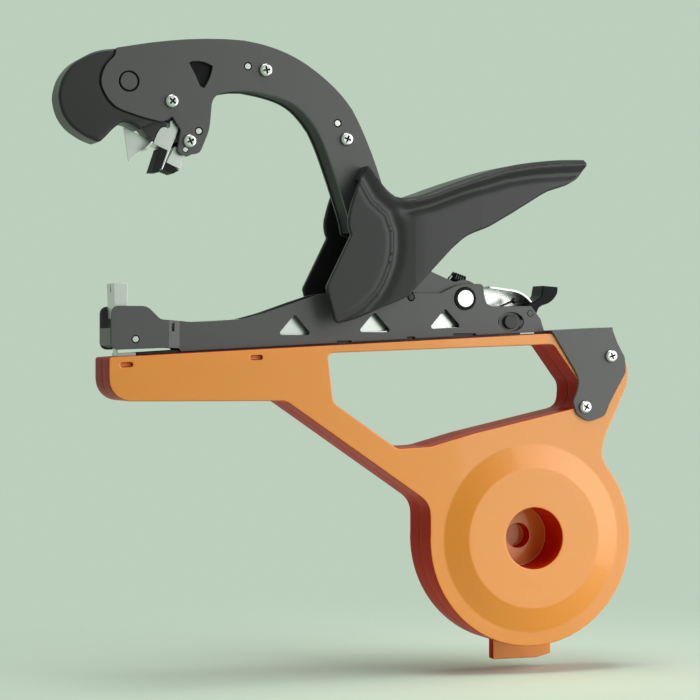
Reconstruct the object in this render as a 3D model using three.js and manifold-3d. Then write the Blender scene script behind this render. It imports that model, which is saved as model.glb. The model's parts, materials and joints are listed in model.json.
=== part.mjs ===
// Plant tying tool: a hand-held tapener that staples soft tape round a stem.
// Millimetres; X runs to the right, Y away from the viewer and Z up.
// The origin is the middle of the finger opening, in the tool's mid-plane.
import * as THREE from "three";
import { mergeVertices } from "three/addons/utils/BufferGeometryUtils.js";
import Module from "manifold-3d";

const wasm = await Module();
wasm.setup();

// Fineness of the facets, and the gaps between pieces
const chordError = 0.09;
const weld = 1e-3;
const overrun = 1;
const rest = 0.15;
const running = 0.3;

// Casing: two moulded halves that meet in the mid-plane
const casing = { left: -149.4, bottom: -106.2, length: 230.1, height: 134.8 };
const shell = { half: 12.5, wall: 2 };
const pod = { radius: 46.2 };
const boss = { base: 40, top: 30, rise: 3 };
const hub = { radius: 13.1, wall: 1.9, depth: 18, socket: 5.3, socketDepth: 6 };
const opening = { nose: 92.5, web: 23.2, beam: 6, height: 43.8 };
const trough = { front: 2.8, half: 8.3, depth: 2.7 };
const relief = { front: 2.9, back: 23.7 };
const snap = { length: 5.1, height: 1.7, drop: 2.6 };
const snapFronts = [4.5, 59];
const thumb = { offset: 4, length: 27, drop: 7.6, thickness: 5, root: 5 };

// Hinge of the far half, at the rear edge behind the steel cheek
const hinge = { overhang: 1, y: 9, drop: 18.4, barrel: 2.2, pin: 1, knuckle: 8, lug: 4 };
const hingeRoot = { lug: 7.2, edge: 4.2, knuckle: 8.4, y: -5.5 };

// Steel frame: base strip, ears for the rear pin, flange and cheek
const strip = { front: 3.4, half: 5.9, steel: 1 };
const ears = { radius: 5, steel: 0.9 };
const cheek = { ahead: -37.2, up: -39.5, length: 34.8, height: 39.6 };
const driver = { front: 5.3, back: 13, half: 5, rise: 1.2, steel: 0.7, reach: 3.1, top: 3.4 };

// Magazine: two side plates that part at the nose, round a staple rail
const magazine = { front: 1.4, behind: 38.1, drop: 9.2, height: 28.7 };
const channel = { half: 7.5, noseHalf: 10.7, steel: 1.2, joggleFront: 23.9, joggleBack: 28.9 };
const slit = { ahead: 25.4, up: 8.2, length: 1.2, height: 3.8 };
const rail = { front: 6.7, behind: 11.7, bottom: 3.9, under: 0.35, half: 3.4, wall: 0.7 };
const railStop = { behind: 2, length: 2 };
const pusher = { front: 14.6, length: 10, bottom: 4.9, top: 12, half: 2.4 };
const rod = { radius: 1, front: 15.6, above: 8.5 };
const pusherSpring = { radius: 1.9, wire: 0.35, behind: 1.4, turns: 14 };
const outlet = { ahead: 2, up: 13.2, length: 5.8, height: 14.4, half: 6.2, steel: 0.6 };
const outletFeet = { ahead: 2.8, up: 17, length: 4, height: 1 };
const outletNotch = { half: 1, depth: 3.5 };
const nosePin = { ahead: 9.9, clear: 0.8 };
const noseGuide = { ahead: -0.1, up: 1.4, length: 3.6, height: 8.1 };

// Pivots
const mainPivot = { ahead: -36.6, up: 22.4, pin: 3.65, bush: 4.8, bushProud: 0.4, pinProud: 0.7 };
const rearPivot = { ahead: -15.5, up: 12.6, pin: 2.4, collar: 4.05 };
const oval = { long: 5.9, high: 4.2 };
const guard = { ahead: -8.8, up: 0, length: 20.6, height: 15.2 };
const guardBand = { radius: 14, steel: 0.9, half: 4.75, web: 0.8, hub: 4.2 };
const rearSpring = { radius: 4.6, wire: 0.55, pitch: 1.55, turns: 4, knob: 1.3 };
const tab = { ahead: -2.6, up: -2.4, length: 17.6, height: 14.4, half: 5.8 };
const tabPivot = { ahead: 8.9, up: 3.6, pin: 1.2 };

// Arm: two steel plates on a moulded core, from the head to the pivot
const arm = { behind: 25.6, up: 15.2, length: 132, height: 90.2 };
const armHalf = 7.5;
const armSteel = 1.4;
const coreInset = 0.5;
const coreFront = 24.9;
const catcherPocket = { back: 38, drop: 42.2 };
const head = { ahead: -16.4, up: -43.7, length: 42, height: 38.2 };
const plug = { radius: 4.2, proud: 0.1 };
const yoke = { short: 3, drop: 6.8, length: 48, height: 49, half: 5.95, steel: 1.35, eye: 8 };
const screw = { head: 2.8, rise: 1.5, shank: 1.5, nut: 2.9, nutRise: 2, nutSides: 6 };
const armPin = { radius: 1.25, hole: 1.7 };

// Tools under the head
const toolHalf = 5;
const bladeHalf = 0.4;
const knife = { ahead: 11, up: -50.5, length: 11.5, height: 14.3 };
const under = { ahead: 17, up: -55, length: 20, height: 22.2 };
const catcherPivot = { ahead: 35.1, up: -45.6, pin: 1, eye: 1.9 };

// Return spring between the grip and the magazine
const returnSpring = { radius: 2.6, wire: 0.55, pitch: 1.75, turns: 5, rod: 1.15 };
const springSeat = { ahead: -16, up: 6.2, length: 26.3, height: 12.4 };

// Grip: moulded saddle, with a tail over the hand
const grip = { ahead: -65.1, up: -11.3, length: 116.6, height: 71.5 };
const gripHalf = 17;
const gripPocketHalf = 14.6;
const gripSlotHalf = armHalf + running;

// Places: what is carried lies at a distance from a point of what carries it
const rightOf = (box) => box.left + box.length;
const topOf = (box) => box.bottom + box.height;

function placeOn(point, ...pieces) {
  pieces.forEach((piece) => {
    const place = { x: point.x + piece.ahead, z: point.z + piece.up };
    Object.assign(piece, place, { left: place.x, bottom: place.z });
  });
}

const casingCorner = { x: rightOf(casing), z: topOf(casing) };
pod.x = casingCorner.x - pod.radius;
pod.z = casing.bottom + pod.radius;
opening.left = casing.left + opening.nose;
opening.length = casingCorner.x - opening.web - opening.left;
opening.bottom = casingCorner.z - opening.beam - opening.height;
hinge.x = casingCorner.x + hinge.overhang;
hinge.z = casingCorner.z - hinge.drop;
placeOn(casingCorner, cheek);
magazine.left = casing.left + magazine.front;
magazine.length = casingCorner.x - magazine.behind - magazine.left;
magazine.bottom = casingCorner.z - magazine.drop;
placeOn({ x: magazine.left, z: magazine.bottom }, slit, outlet, outletFeet, noseGuide);
placeOn({ x: rightOf(magazine), z: magazine.bottom }, mainPivot, rearPivot);
placeOn(rearPivot, guard, tabPivot);
placeOn(tabPivot, tab);
placeOn(mainPivot, grip, springSeat);
yoke.left = mainPivot.x - yoke.short - yoke.length;
yoke.bottom = mainPivot.z - yoke.drop;
arm.left = mainPivot.x - arm.behind - arm.length;
arm.bottom = mainPivot.z + arm.up;
placeOn({ x: arm.left, z: topOf(arm) }, head, knife, under, catcherPivot);

// Outlines

// The points of a table, each row being [x share of the length, z share of the height, radius]
const placed = (box, rows) =>
  rows.map(([x, z, radius = 0]) => ({
    point: new THREE.Vector2(box.left + x * box.length, box.bottom + z * box.height),
    radius: radius * box.height,
  }));

// A smooth run through the points of a table
function smooth(box, rows, steps) {
  const curve = new THREE.SplineCurve(placed(box, rows).map(({ point }) => point));
  return curve.getPoints(steps).map((point) => ({ point, radius: 0 }));
}

// The same corners moved outwards by a distance, or inwards by a negative one
function moved(corners, distance) {
  const sign = Math.sign(THREE.ShapeUtils.area(corners.map(({ point }) => point)));
  return corners.map(({ point, radius }, i) => {
    const before = corners.at(i - 1).point;
    const after = corners[(i + 1) % corners.length].point;
    const into = point.clone().sub(before).normalize();
    const out = after.clone().sub(point).normalize();
    const bulge = sign * Math.sign(into.cross(out));
    const miter = new THREE.Vector2(into.y + out.y, -into.x - out.x);
    return {
      point: point.clone().addScaledVector(miter, (2 * sign * distance) / miter.lengthSq()),
      radius: radius && Math.max(radius + bulge * distance, 0),
    };
  });
}

// How many chords an arc takes to stay within the chord error
function arcSteps(radius, angle) {
  const chord = 2 * Math.acos(1 - Math.min(chordError / radius, 0.5));
  return Math.max(1, Math.ceil(Math.abs(angle) / chord));
}

function arcPoints(centre, radius, from, turn) {
  const steps = arcSteps(radius, turn);
  return Array.from({ length: steps + 1 }, (_, k) => {
    const angle = from + (turn * k) / steps;
    return new THREE.Vector2(Math.cos(angle), Math.sin(angle)).multiplyScalar(radius).add(centre);
  });
}

// The outline round a list of corners, where a corner with a radius becomes an arc
function rounded(corners) {
  return corners.flatMap(({ point, radius }, i) => {
    if (!radius) return [point];
    const back = corners.at(i - 1).point.clone().sub(point);
    const ahead = corners[(i + 1) % corners.length].point.clone().sub(point);
    const half = back.angleTo(ahead) / 2;
    const room = Math.min(back.length(), ahead.length()) / 2;
    const reach = Math.min(radius / Math.tan(half), room);
    const inner = reach * Math.tan(half);
    const bisector = back.clone().normalize().add(ahead.clone().normalize());
    const centre = point.clone().add(bisector.setLength(inner / Math.sin(half)));
    const start = point.clone().add(back.setLength(reach)).sub(centre);
    const end = point.clone().add(ahead.setLength(reach)).sub(centre);
    const turn = Math.sign(start.cross(end)) * start.angleTo(end);
    return arcPoints(centre, inner, start.angle(), turn);
  });
}

const outlineOf = (box, rows) => rounded(placed(box, rows));

// The outline of a strap of even thickness that lies inside a path
function strap(path, thickness) {
  const inside = path.map((point, i) => {
    const along = path[Math.min(i + 1, path.length - 1)].clone().sub(path[Math.max(i - 1, 0)]);
    return point.clone().addScaledVector(new THREE.Vector2(-along.y, along.x).normalize(), thickness);
  });
  return [...path, ...inside.reverse()];
}

const pointsOn = (box, rows) => placed(box, rows).map(({ point }) => ({ x: point.x, z: point.y }));

// Solids

function toSolid(geometry) {
  geometry.deleteAttribute("normal");
  geometry.deleteAttribute("uv");
  const merged = mergeVertices(geometry, weld);
  return new wasm.Manifold(
    new wasm.Mesh({
      numProp: 3,
      vertProperties: merged.attributes.position.array,
      triVerts: new Uint32Array(merged.index.array),
    }),
  );
}

function toGeometry(solid) {
  const mesh = solid.getMesh();
  const geometry = new THREE.BufferGeometry();
  geometry.setAttribute("position", new THREE.BufferAttribute(mesh.vertProperties, 3));
  geometry.setIndex(new THREE.BufferAttribute(mesh.triVerts, 1));
  geometry.computeVertexNormals();
  return geometry;
}

const cut = (solid, ...tools) => tools.reduce((left, tool) => left.subtract(tool), solid);
const join = (solid, ...others) => others.reduce((whole, other) => whole.add(other), solid);

// The part of a solid that lies inside another
const common = (solid, other) => solid.intersect(other);

// A flat plate: its outline lies in XZ and its thickness runs along Y
function plate(outline, near, far) {
  const geometry = new THREE.ExtrudeGeometry(new THREE.Shape(outline), {
    depth: far - near,
    bevelEnabled: false,
  });
  geometry.rotateX(Math.PI / 2);
  geometry.translate(0, far, 0);
  return toSolid(geometry);
}

// A plan outline in XY, raised along Z
function raised(outline, low, high) {
  const geometry = new THREE.ExtrudeGeometry(new THREE.Shape(outline), {
    depth: high - low,
    bevelEnabled: false,
  });
  geometry.translate(0, 0, low);
  return toSolid(geometry);
}

function boxGeometry(x0, x1, y0, y1, z0, z1) {
  const geometry = new THREE.BoxGeometry(x1 - x0, y1 - y0, z1 - z0);
  geometry.translate((x0 + x1) / 2, (y0 + y1) / 2, (z0 + z1) / 2);
  return geometry;
}

const block = (...sides) => toSolid(boxGeometry(...sides));

const roundSides = (radius) => Math.max(12, 4 * Math.ceil(arcSteps(radius, 2 * Math.PI) / 4));

// A cone along Y, with a radius at each end
function cone(nearRadius, farRadius, near, far, centre, sides = roundSides(nearRadius)) {
  const geometry = new THREE.CylinderGeometry(farRadius, nearRadius, far - near, sides);
  geometry.translate(centre.x, (near + far) / 2, centre.z);
  return toSolid(geometry);
}

const bar = (radius, near, far, centre) => cone(radius, radius, near, far, centre);

// A round body along Y; its profile of [radius, y] starts on the axis at the near end
function turned(profile, centre) {
  const widest = Math.max(...profile.map(([radius]) => radius));
  const points = profile.map(([radius, y]) => new THREE.Vector2(radius, y));
  const geometry = new THREE.LatheGeometry(points, roundSides(widest));
  geometry.translate(centre.x, 0, centre.z);
  return toSolid(geometry);
}

// A round bar along Z
function post(radius, low, high, x, y) {
  const geometry = new THREE.CylinderGeometry(radius, radius, high - low, roundSides(radius));
  geometry.rotateX(Math.PI / 2);
  geometry.translate(x, y, (low + high) / 2);
  return toSolid(geometry);
}

// The deck is the casing's top edge; pieces on it are drawn level, from its front end, and then tilted
const deckShares = [
  [0, 0.915],
  [0.962, 1],
];
const [deckFront, deckBack] = pointsOn(casing, deckShares);
const deckTilt = Math.atan2(deckBack.z - deckFront.z, deckBack.x - deckFront.x);
const deckLength = Math.hypot(deckBack.z - deckFront.z, deckBack.x - deckFront.x);

function onDeck(geometry) {
  geometry.rotateY(-deckTilt);
  geometry.translate(deckFront.x, 0, deckFront.z);
  return toSolid(geometry);
}

const deckBlock = (...sides) => onDeck(boxGeometry(...sides));

// A section of [y, above] points, run along the deck
function deckProfile(section, front, back) {
  const shape = new THREE.Shape(section.map(([y, above]) => new THREE.Vector2(y, above)));
  const geometry = new THREE.ExtrudeGeometry(shape, { depth: back - front, bevelEnabled: false });
  geometry.rotateX(Math.PI / 2);
  geometry.rotateZ(Math.PI / 2);
  geometry.translate(front, 0, 0);
  return onDeck(geometry);
}

function deckBar(radius, front, back, above) {
  const geometry = new THREE.CylinderGeometry(radius, radius, back - front, roundSides(radius));
  geometry.rotateZ(Math.PI / 2);
  geometry.translate((front + back) / 2, 0, above);
  return onDeck(geometry);
}

// How far along the deck a place lies, and how high the deck is there
const alongDeck = (x) => (x - deckFront.x) / Math.cos(deckTilt);
const deckHeight = (x) => deckFront.z + alongDeck(x) * Math.sin(deckTilt);

// Springs and bent wires: one tube of five sides along a list of points
const wireSides = 5;
const stepsPerTurn = 8;

function wire(points, radius) {
  const positions = [];
  const faces = [];
  const normal = new THREE.Vector3(0, 1, 0);
  points.forEach((point, i) => {
    const ahead = points[Math.min(i + 1, points.length - 1)];
    const along = ahead.clone().sub(points[Math.max(i - 1, 0)]).normalize();
    normal.addScaledVector(along, -normal.dot(along)).normalize();
    const side = along.cross(normal);
    for (let k = 0; k < wireSides; k += 1) {
      const angle = (2 * Math.PI * k) / wireSides;
      const spoke = point.clone().addScaledVector(normal, radius * Math.cos(angle));
      positions.push(...spoke.addScaledVector(side, radius * Math.sin(angle)).toArray());
    }
  });
  const last = (points.length - 1) * wireSides;
  for (let i = 0; i < last; i += wireSides) {
    for (let k = 0; k < wireSides; k += 1) {
      const next = (k + 1) % wireSides;
      faces.push(i + k, i + next, i + wireSides + k);
      faces.push(i + next, i + wireSides + next, i + wireSides + k);
    }
  }
  for (let k = 1; k < wireSides - 1; k += 1) {
    faces.push(0, k + 1, k);
    faces.push(last, last + k, last + k + 1);
  }
  const geometry = new THREE.BufferGeometry();
  geometry.setAttribute("position", new THREE.BufferAttribute(new Float32Array(positions), 3));
  geometry.setIndex(faces);
  return toSolid(geometry);
}

// The points of a helix round an axis, the first of them on the side called across
function helix(start, axis, across, { radius, pitch, turns }) {
  const up = across.clone().addScaledVector(axis, -across.dot(axis)).normalize();
  const side = axis.clone().cross(up);
  return Array.from({ length: turns * stepsPerTurn + 1 }, (_, k) => {
    const angle = (2 * Math.PI * k) / stepsPerTurn;
    return start
      .clone()
      .addScaledVector(axis, (pitch * k) / stepsPerTurn)
      .addScaledVector(up, radius * Math.cos(angle))
      .addScaledVector(side, radius * Math.sin(angle));
  });
}

// Prints the least gap between a spring's turns, measured on its points
function reportGap(name, points, radius) {
  let least = Infinity;
  points.forEach((point, i) => {
    points.slice(i + stepsPerTurn / 2 + 1).forEach((other) => {
      least = Math.min(least, point.distanceTo(other));
    });
  });
  console.log(`${name}: least gap between turns ${(least - 2 * radius).toFixed(2)} mm`);
}

// The finished part
const tool = new THREE.Group();
const finishes = {
  orange: { color: 0xe8964a, roughness: 0.5, metalness: 0 },
  satin: { color: 0x66666a, roughness: 0.45, metalness: 0.4 },
  black: { color: 0x252527, roughness: 0.55, metalness: 0 },
  moulding: { color: 0x464648, roughness: 0.45, metalness: 0 },
  steel: { color: 0xd8d8da, roughness: 0.25, metalness: 0.9 },
};

function add(name, solid, finish) {
  const mesh = new THREE.Mesh(toGeometry(solid), new THREE.MeshStandardMaterial(finishes[finish]));
  mesh.name = name;
  tool.add(mesh);
}

// Casing

const casingEdgeShares = [
  [0.962, 1],
  [0, 0.915, 0.007],
  [0, 0.783, 0.098],
  [0.323, 0.781, 0.04],
  [0.599, 0.458, 0.07],
  [0.599, 0.328],
  [0.799, 0.231],
  [0.992, 0.387],
];
const casingRearShares = [
  [0.994, 0.432],
  [0.968, 0.521],
  [0.948, 0.577],
  [0.943, 0.619],
  [0.954, 0.681],
  [0.974, 0.751],
  [0.993, 0.832],
  [0.994, 0.881],
  [0.98, 0.94],
  [0.966, 0.985],
];
const openingShares = [
  [0, 0.913, 0.05],
  [0.835, 0.995, 0.07],
  [0.998, 0.632, 0.15],
  [0.991, 0.381, 0.12],
  [0.567, 0.137, 0.2],
  [0.392, 0.014, 0.15],
  [0.267, 0, 0.1],
  [0.021, 0.443, 0.12],
];
const beamCorners = [...placed(casing, casingEdgeShares), ...smooth(casing, casingRearShares, 18)];
const openingCorners = placed(opening, openingShares);
const openingCut = plate(rounded(openingCorners), -shell.half - overrun, shell.half + overrun);
const openingFrame = plate(rounded(moved(openingCorners, shell.wall)), -shell.half, shell.half);
const bossFace = shell.half + boss.rise;
const deckEnd = deckLength + shell.wall + running;
const reliefFront = alongDeck(opening.left) + relief.front;
const reliefBack = alongDeck(rightOf(opening)) - relief.back;

// One half of the casing: the near one has side -1 and the far one has side 1
function casingHalf(side) {
  const span = (inner, outer) => [side * inner, side * outer].sort((a, b) => a - b);
  const [near, far] = span(rest, shell.half);
  const [hollowNear, hollowFar] = span(0, shell.half - shell.wall);
  const [baseNear, baseFar] = span(shell.half, bossFace);
  const [wellNear, wellFar] = span(shell.half - shell.wall - overrun, bossFace - shell.wall);
  const [cutNear, cutFar] = span(0, trough.half);
  const outside = join(
    plate(rounded(beamCorners), near, far),
    bar(pod.radius, near, far, pod),
    cone(side < 0 ? boss.top : boss.base, side < 0 ? boss.base : boss.top, baseNear, baseFar, pod),
  );
  const hollow = cut(
    join(
      plate(rounded(moved(beamCorners, -shell.wall)), hollowNear, hollowFar),
      bar(pod.radius - shell.wall, hollowNear, hollowFar, pod),
      bar(boss.top - shell.wall, wellNear, wellFar, pod),
    ),
    openingFrame,
    deckBlock(0, deckEnd, -shell.half, shell.half, -trough.depth - shell.wall, overrun),
  );
  return cut(
    outside,
    hollow,
    openingCut,
    deckBlock(trough.front, deckEnd, cutNear, cutFar, -trough.depth, overrun),
    deckBlock(reliefFront, reliefBack, cutNear, cutFar, -trough.depth - shell.wall, overrun),
  );
}

// The well for the roll of tape, sunk into the near half
const hubFloor = hub.depth - bossFace;
const socketEnd = hubFloor + hub.socketDepth;
const hubTube = join(
  bar(hub.radius + hub.wall, shell.wall / 2 - bossFace, hubFloor + hub.wall, pod),
  bar(hub.socket + hub.wall, hubFloor, socketEnd + hub.wall, pod),
);
const hubWell = join(
  bar(hub.radius, -bossFace - overrun, hubFloor, pod),
  bar(hub.socket, hubFloor - overrun, socketEnd, pod),
);

// Lugs of the near half and the knuckle of the far half, on one upright pin
const knuckleLow = hinge.z - hinge.knuckle / 2;
const knuckleHigh = hinge.z + hinge.knuckle / 2;
const lowerLug = knuckleLow - running - hinge.lug;
const upperLug = knuckleHigh + running + hinge.lug;
const lugInside = hinge.x - 2 * hinge.barrel;
const lugRoot = hinge.x - hingeRoot.lug;
const lugPlan = [
  new THREE.Vector2(lugRoot, hingeRoot.y),
  new THREE.Vector2(hinge.x - hingeRoot.edge, hingeRoot.y),
  new THREE.Vector2(hinge.x + hinge.barrel, hinge.y),
  new THREE.Vector2(lugInside, hinge.y),
  new THREE.Vector2(lugInside, 0),
  new THREE.Vector2(lugRoot, 0),
];
const lug = (low, high) => {
  const barrel = post(hinge.barrel, low, high, hinge.x, hinge.y);
  return join(raised(lugPlan, low, high), barrel);
};
const hingeBore = post(hinge.pin + rest, lowerLug - overrun, upperLug + overrun, hinge.x, hinge.y);

function addCasing() {
  const lugs = [lug(lowerLug, knuckleLow - running), lug(knuckleHigh + running, upperLug)];
  const windows = snapFronts.map((front) =>
    deckBlock(
      front,
      front + snap.length,
      -shell.half - overrun,
      -shell.half + shell.wall,
      -snap.drop - snap.height,
      -snap.drop,
    ),
  );
  const near = join(casingHalf(-1), hubTube, ...lugs);
  const cheekEdge = moved(placed(cheek, cheekShares), running);
  const cheekRoom = plate(rounded(cheekEdge), -bossFace - overrun, -shell.half);
  add("casing_near", cut(near, hubWell, hingeBore, cheekRoom, ...windows), "orange");
  const podEdge = pod.z - pod.radius;
  const notch = block(
    lugInside - running,
    hinge.x + hinge.barrel,
    0,
    shell.half + overrun,
    lowerLug - running,
    upperLug + running,
  );
  const knuckle = join(
    post(hinge.barrel, knuckleLow, knuckleHigh, hinge.x, hinge.y),
    block(
      hinge.x - hingeRoot.knuckle,
      hinge.x,
      hinge.y - hinge.barrel,
      hinge.y + hinge.barrel,
      knuckleLow,
      knuckleHigh,
    ),
  );
  const lipMiddle = pod.x + thumb.offset;
  const lip = block(
    lipMiddle - thumb.length / 2,
    lipMiddle + thumb.length / 2,
    shell.half - thumb.thickness,
    shell.half,
    podEdge - thumb.drop,
    podEdge + thumb.root,
  );
  const far = join(cut(casingHalf(1), notch), knuckle, lip);
  add("casing_far", cut(far, hingeBore), "orange");
  add("cover_hinge_pin", post(hinge.pin, lowerLug, upperLug, hinge.x, hinge.y), "steel");
}

// Screws with a domed head on the near side

// Corners of the dome: a share of the head's radius, and of its rise
const domeShares = [
  [0, 1],
  [0.55, 0.92],
  [0.9, 0.55],
];

function screwFrom(face, end, centre) {
  return turned(
    [
      ...domeShares.map(([out, up]) => [out * screw.head, face - up * screw.rise]),
      [screw.head, face - rest],
      [screw.shank, face - rest],
      [screw.shank, end],
      [0, end],
    ],
    centre,
  );
}

// Steel frame

const cheekShares = [
  [0, 0.985, 0.02],
  [0.807, 1.02, 0.02],
  [0.862, 0.889],
  [0.983, 0.705, 0.1],
  [1, 0.54, 0.1],
  [0.862, 0.333],
  [0.779, 0.205],
  [0.713, 0.063, 0.1],
  [0.483, 0, 0.12],
  [0.333, 0.088, 0.1],
  [0.279, 0.22, 0.1],
  [0.348, 0.348, 0.15],
  [0.362, 0.457, 0.12],
  [0.307, 0.563],
];
const cheekScrewShares = [
  [0.793, 0.715],
  [0.443, 0.164],
];
const stripBottom = rest - trough.depth;
const stripTop = stripBottom + strip.steel;

function ear(near, far) {
  const low = deckHeight(rearPivot.x) + stripTop - strip.steel / 2;
  const left = rearPivot.x - ears.radius;
  const right = rearPivot.x + ears.radius;
  return join(bar(ears.radius, near, far, rearPivot), block(left, right, near, far, low, rearPivot.z));
}

function addFrame() {
  const sheetNear = -shell.half - rest - strip.steel;
  const cheekFront = alongDeck(cheek.left);
  const flangeTop = rest + strip.steel;
  const screws = pointsOn(cheek, cheekScrewShares);
  const folded = join(
    deckBlock(strip.front, deckLength, -strip.half, strip.half, stripBottom, stripTop),
    deckBlock(cheekFront, deckLength, -strip.half, strip.half, stripBottom, flangeTop),
    deckBlock(cheekFront, deckLength, sheetNear, strip.half, rest, flangeTop),
    plate(outlineOf(cheek, cheekShares), sheetNear, sheetNear + strip.steel),
    ear(-strip.half, ears.steel - strip.half),
    ear(strip.half - ears.steel, strip.half),
  );
  const holes = screws.map((centre) =>
    bar(screw.shank + rest, sheetNear - overrun, sheetNear + strip.steel + overrun, centre),
  );
  const pinHole = bar(rearPivot.pin + rest, -shell.half, shell.half, rearPivot);
  add("frame_bracket", cut(folded, pinHole, ...holes), "satin");
  screws.forEach((centre, i) => {
    const name = i ? "bracket_screw_lower" : "bracket_screw_upper";
    add(name, screwFrom(sheetNear, -shell.half - rest, centre), "steel");
  });
  const blade = join(
    deckBlock(driver.front, driver.back, -driver.half, driver.half, stripTop + rest, driver.rise),
    deckBlock(driver.front, driver.front + driver.steel, -driver.reach, driver.reach, 0, driver.top),
  );
  add("staple_driver", blade, "steel");
}

// Magazine

const magazineShares = [
  [0, 0.021, 0.1],
  [0, 0.641, 0.1],
  [0.078, 0.641, 0.17],
  [0.107, 0.453, 0.12],
  [0.158, 0.432],
  [0.176, 0.418],
  [0.226, 0.432],
  [0.294, 0.463],
  [0.346, 0.554],
  [0.415, 0.714],
  [0.472, 0.836],
  [0.567, 0.871],
  [0.701, 0.857],
  [0.751, 0.861],
  [0.784, 0.965],
  [0.803, 1],
  [0.852, 1, 0.06],
  [0.855, 0.669, 0.15],
  [0.968, 0.676],
  [0.991, 0.484],
  [1, 0.296],
  [0.155, 0],
  [0.151, 0.045],
  [0.125, 0.052],
];
const windowShares = [
  [
    [0.411, 0.537, 0.03],
    [0.372, 0.237, 0.03],
    [0.45, 0.237, 0.03],
  ],
  [
    [0.595, 0.578, 0.03],
    [0.556, 0.282, 0.03],
    [0.635, 0.282, 0.03],
  ],
  [
    [0.761, 0.634, 0.03],
    [0.722, 0.331, 0.03],
    [0.8, 0.355, 0.03],
  ],
];
const notchShares = [
  [0.507, 0.541, 0.155],
  [0.67, 0.689, 0.215],
  [0.78, 0.834, 0.265],
];
const rivetShares = [[0.68, 0.794]];
const nosePinX = magazine.left + nosePin.ahead;
const nosePinRise = rail.bottom + rail.wall + nosePin.clear + armPin.radius;
const nosePinCentre = { x: nosePinX, z: deckHeight(nosePinX) + nosePinRise };
const [rivetCentre] = pointsOn(magazine, rivetShares);
const channelInside = channel.half - channel.steel;
const noseInside = channel.noseHalf - channel.steel;
const magazineBack = rightOf(magazine);
const joggleFront = magazine.left + channel.joggleFront;
const joggleBack = magazine.left + channel.joggleBack;

// The side plate seen from above: wide at the nose, and narrow behind the joggle
function magazinePlate(side) {
  const plan = [
    [magazine.left, channel.noseHalf],
    [joggleFront, channel.noseHalf],
    [joggleBack, channel.half],
    [magazineBack, channel.half],
    [magazineBack, channelInside],
    [joggleBack, channelInside],
    [joggleFront, noseInside],
    [magazine.left, noseInside],
  ].map(([x, y]) => new THREE.Vector2(x, side * y));
  const low = magazine.bottom - overrun;
  const high = topOf(magazine) + overrun;
  const [near, far] = side < 0 ? [-channel.noseHalf, 0] : [0, channel.noseHalf];
  const through = (outline) => plate(outline, near - overrun, far + overrun);
  const hole = (radius, centre) => bar(radius, near - overrun, far + overrun, centre);
  const ovalOutline = new THREE.EllipseCurve(rearPivot.x, rearPivot.z, oval.long, oval.high);
  const notches = notchShares.map(([from, to, top]) =>
    block(
      magazine.left + from * magazine.length,
      magazine.left + to * magazine.length,
      near,
      far,
      low,
      magazine.bottom + top * magazine.height,
    ),
  );
  return cut(
    common(through(outlineOf(magazine, magazineShares)), raised(plan, low, high)),
    hole(mainPivot.bush + rest, mainPivot),
    through(ovalOutline.getPoints(roundSides(oval.long))),
    hole(armPin.hole, nosePinCentre),
    hole(armPin.hole, rivetCentre),
    hole(tabPivot.pin + rest, tabPivot),
    block(slit.left, rightOf(slit), near, far, slit.bottom, topOf(slit)),
    ...windowShares.map((rows) => through(outlineOf(magazine, rows))),
    ...notches,
  );
}

// The rail's run along the deck, and the pusher's at rest
const railBack = alongDeck(rearPivot.x) - rail.behind;
const railTop = mainPivot.z - mainPivot.pin - rail.under - deckHeight(mainPivot.x);
const stopBack = railBack - railStop.behind;
const stopFront = stopBack - railStop.length;
const pusherBack = pusher.front + pusher.length;

function addMagazine() {
  add("magazine_plate_near", magazinePlate(-1), "satin");
  add("magazine_plate_far", magazinePlate(1), "satin");
  const inner = rail.half - rail.wall;
  const wings = channelInside - rest;
  const rodHole = deckBar(rod.radius + rest, stopFront - overrun, railBack, rod.above);
  const floor = rail.bottom + rail.wall;
  const half = [
    [wings, rail.bottom],
    [wings, floor],
    [rail.half, floor],
    [rail.half, railTop],
    [inner, railTop],
    [inner, floor],
  ];
  const section = [...half, ...half.map(([y, above]) => [-y, above]).reverse()];
  const end = [rail.half - rail.wall / 2, floor - rail.wall / 2, railTop - rail.wall];
  const stop = deckBlock(stopFront, stopBack, -end[0], end[0], end[1], end[2]);
  const channelRail = join(deckProfile(section, rail.front, railBack), stop);
  add("staple_rail", cut(channelRail, rodHole), "steel");
  add("pusher_rod", deckBar(rod.radius, rod.front, stopBack, rod.above), "steel");
  const [low, high] = [pusher.bottom, pusher.top];
  const slider = cut(
    deckBlock(pusher.front, pusherBack, -pusher.half, pusher.half, low, high),
    deckBar(rod.radius + running, pusher.front - overrun, pusherBack + overrun, rod.above),
  );
  add("staple_pusher", slider, "black");
  addPusherSpring();
  const pinSpan = [-channel.noseHalf - rest, -rail.half - running];
  add("nose_pin_near", bar(armPin.radius, ...pinSpan, nosePinCentre), "steel");
  add("nose_pin_far", bar(armPin.radius, -pinSpan[1], -pinSpan[0], nosePinCentre), "steel");
  const rivetSpan = [-channel.half - rest, rest - channel.half + channel.steel];
  add("plate_rivet_near", bar(armPin.radius, ...rivetSpan, rivetCentre), "steel");
  add("plate_rivet_far", bar(armPin.radius, -rivetSpan[1], -rivetSpan[0], rivetCentre), "steel");
}

function addPusherSpring() {
  const [cos, sin] = [Math.cos(deckTilt), Math.sin(deckTilt)];
  const front = pusherBack + running + pusherSpring.wire;
  const start = new THREE.Vector3(
    deckFront.x + front * cos - rod.above * sin,
    0,
    deckFront.z + front * sin + rod.above * cos,
  );
  const run = stopFront - pusherSpring.behind - front;
  const coil = { ...pusherSpring, pitch: run / pusherSpring.turns };
  const points = helix(start, new THREE.Vector3(cos, 0, sin), new THREE.Vector3(0, 1, 0), coil);
  reportGap("pusher_spring", points, pusherSpring.wire);
  add("pusher_spring", wire(points, pusherSpring.wire), "steel");
}

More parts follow.
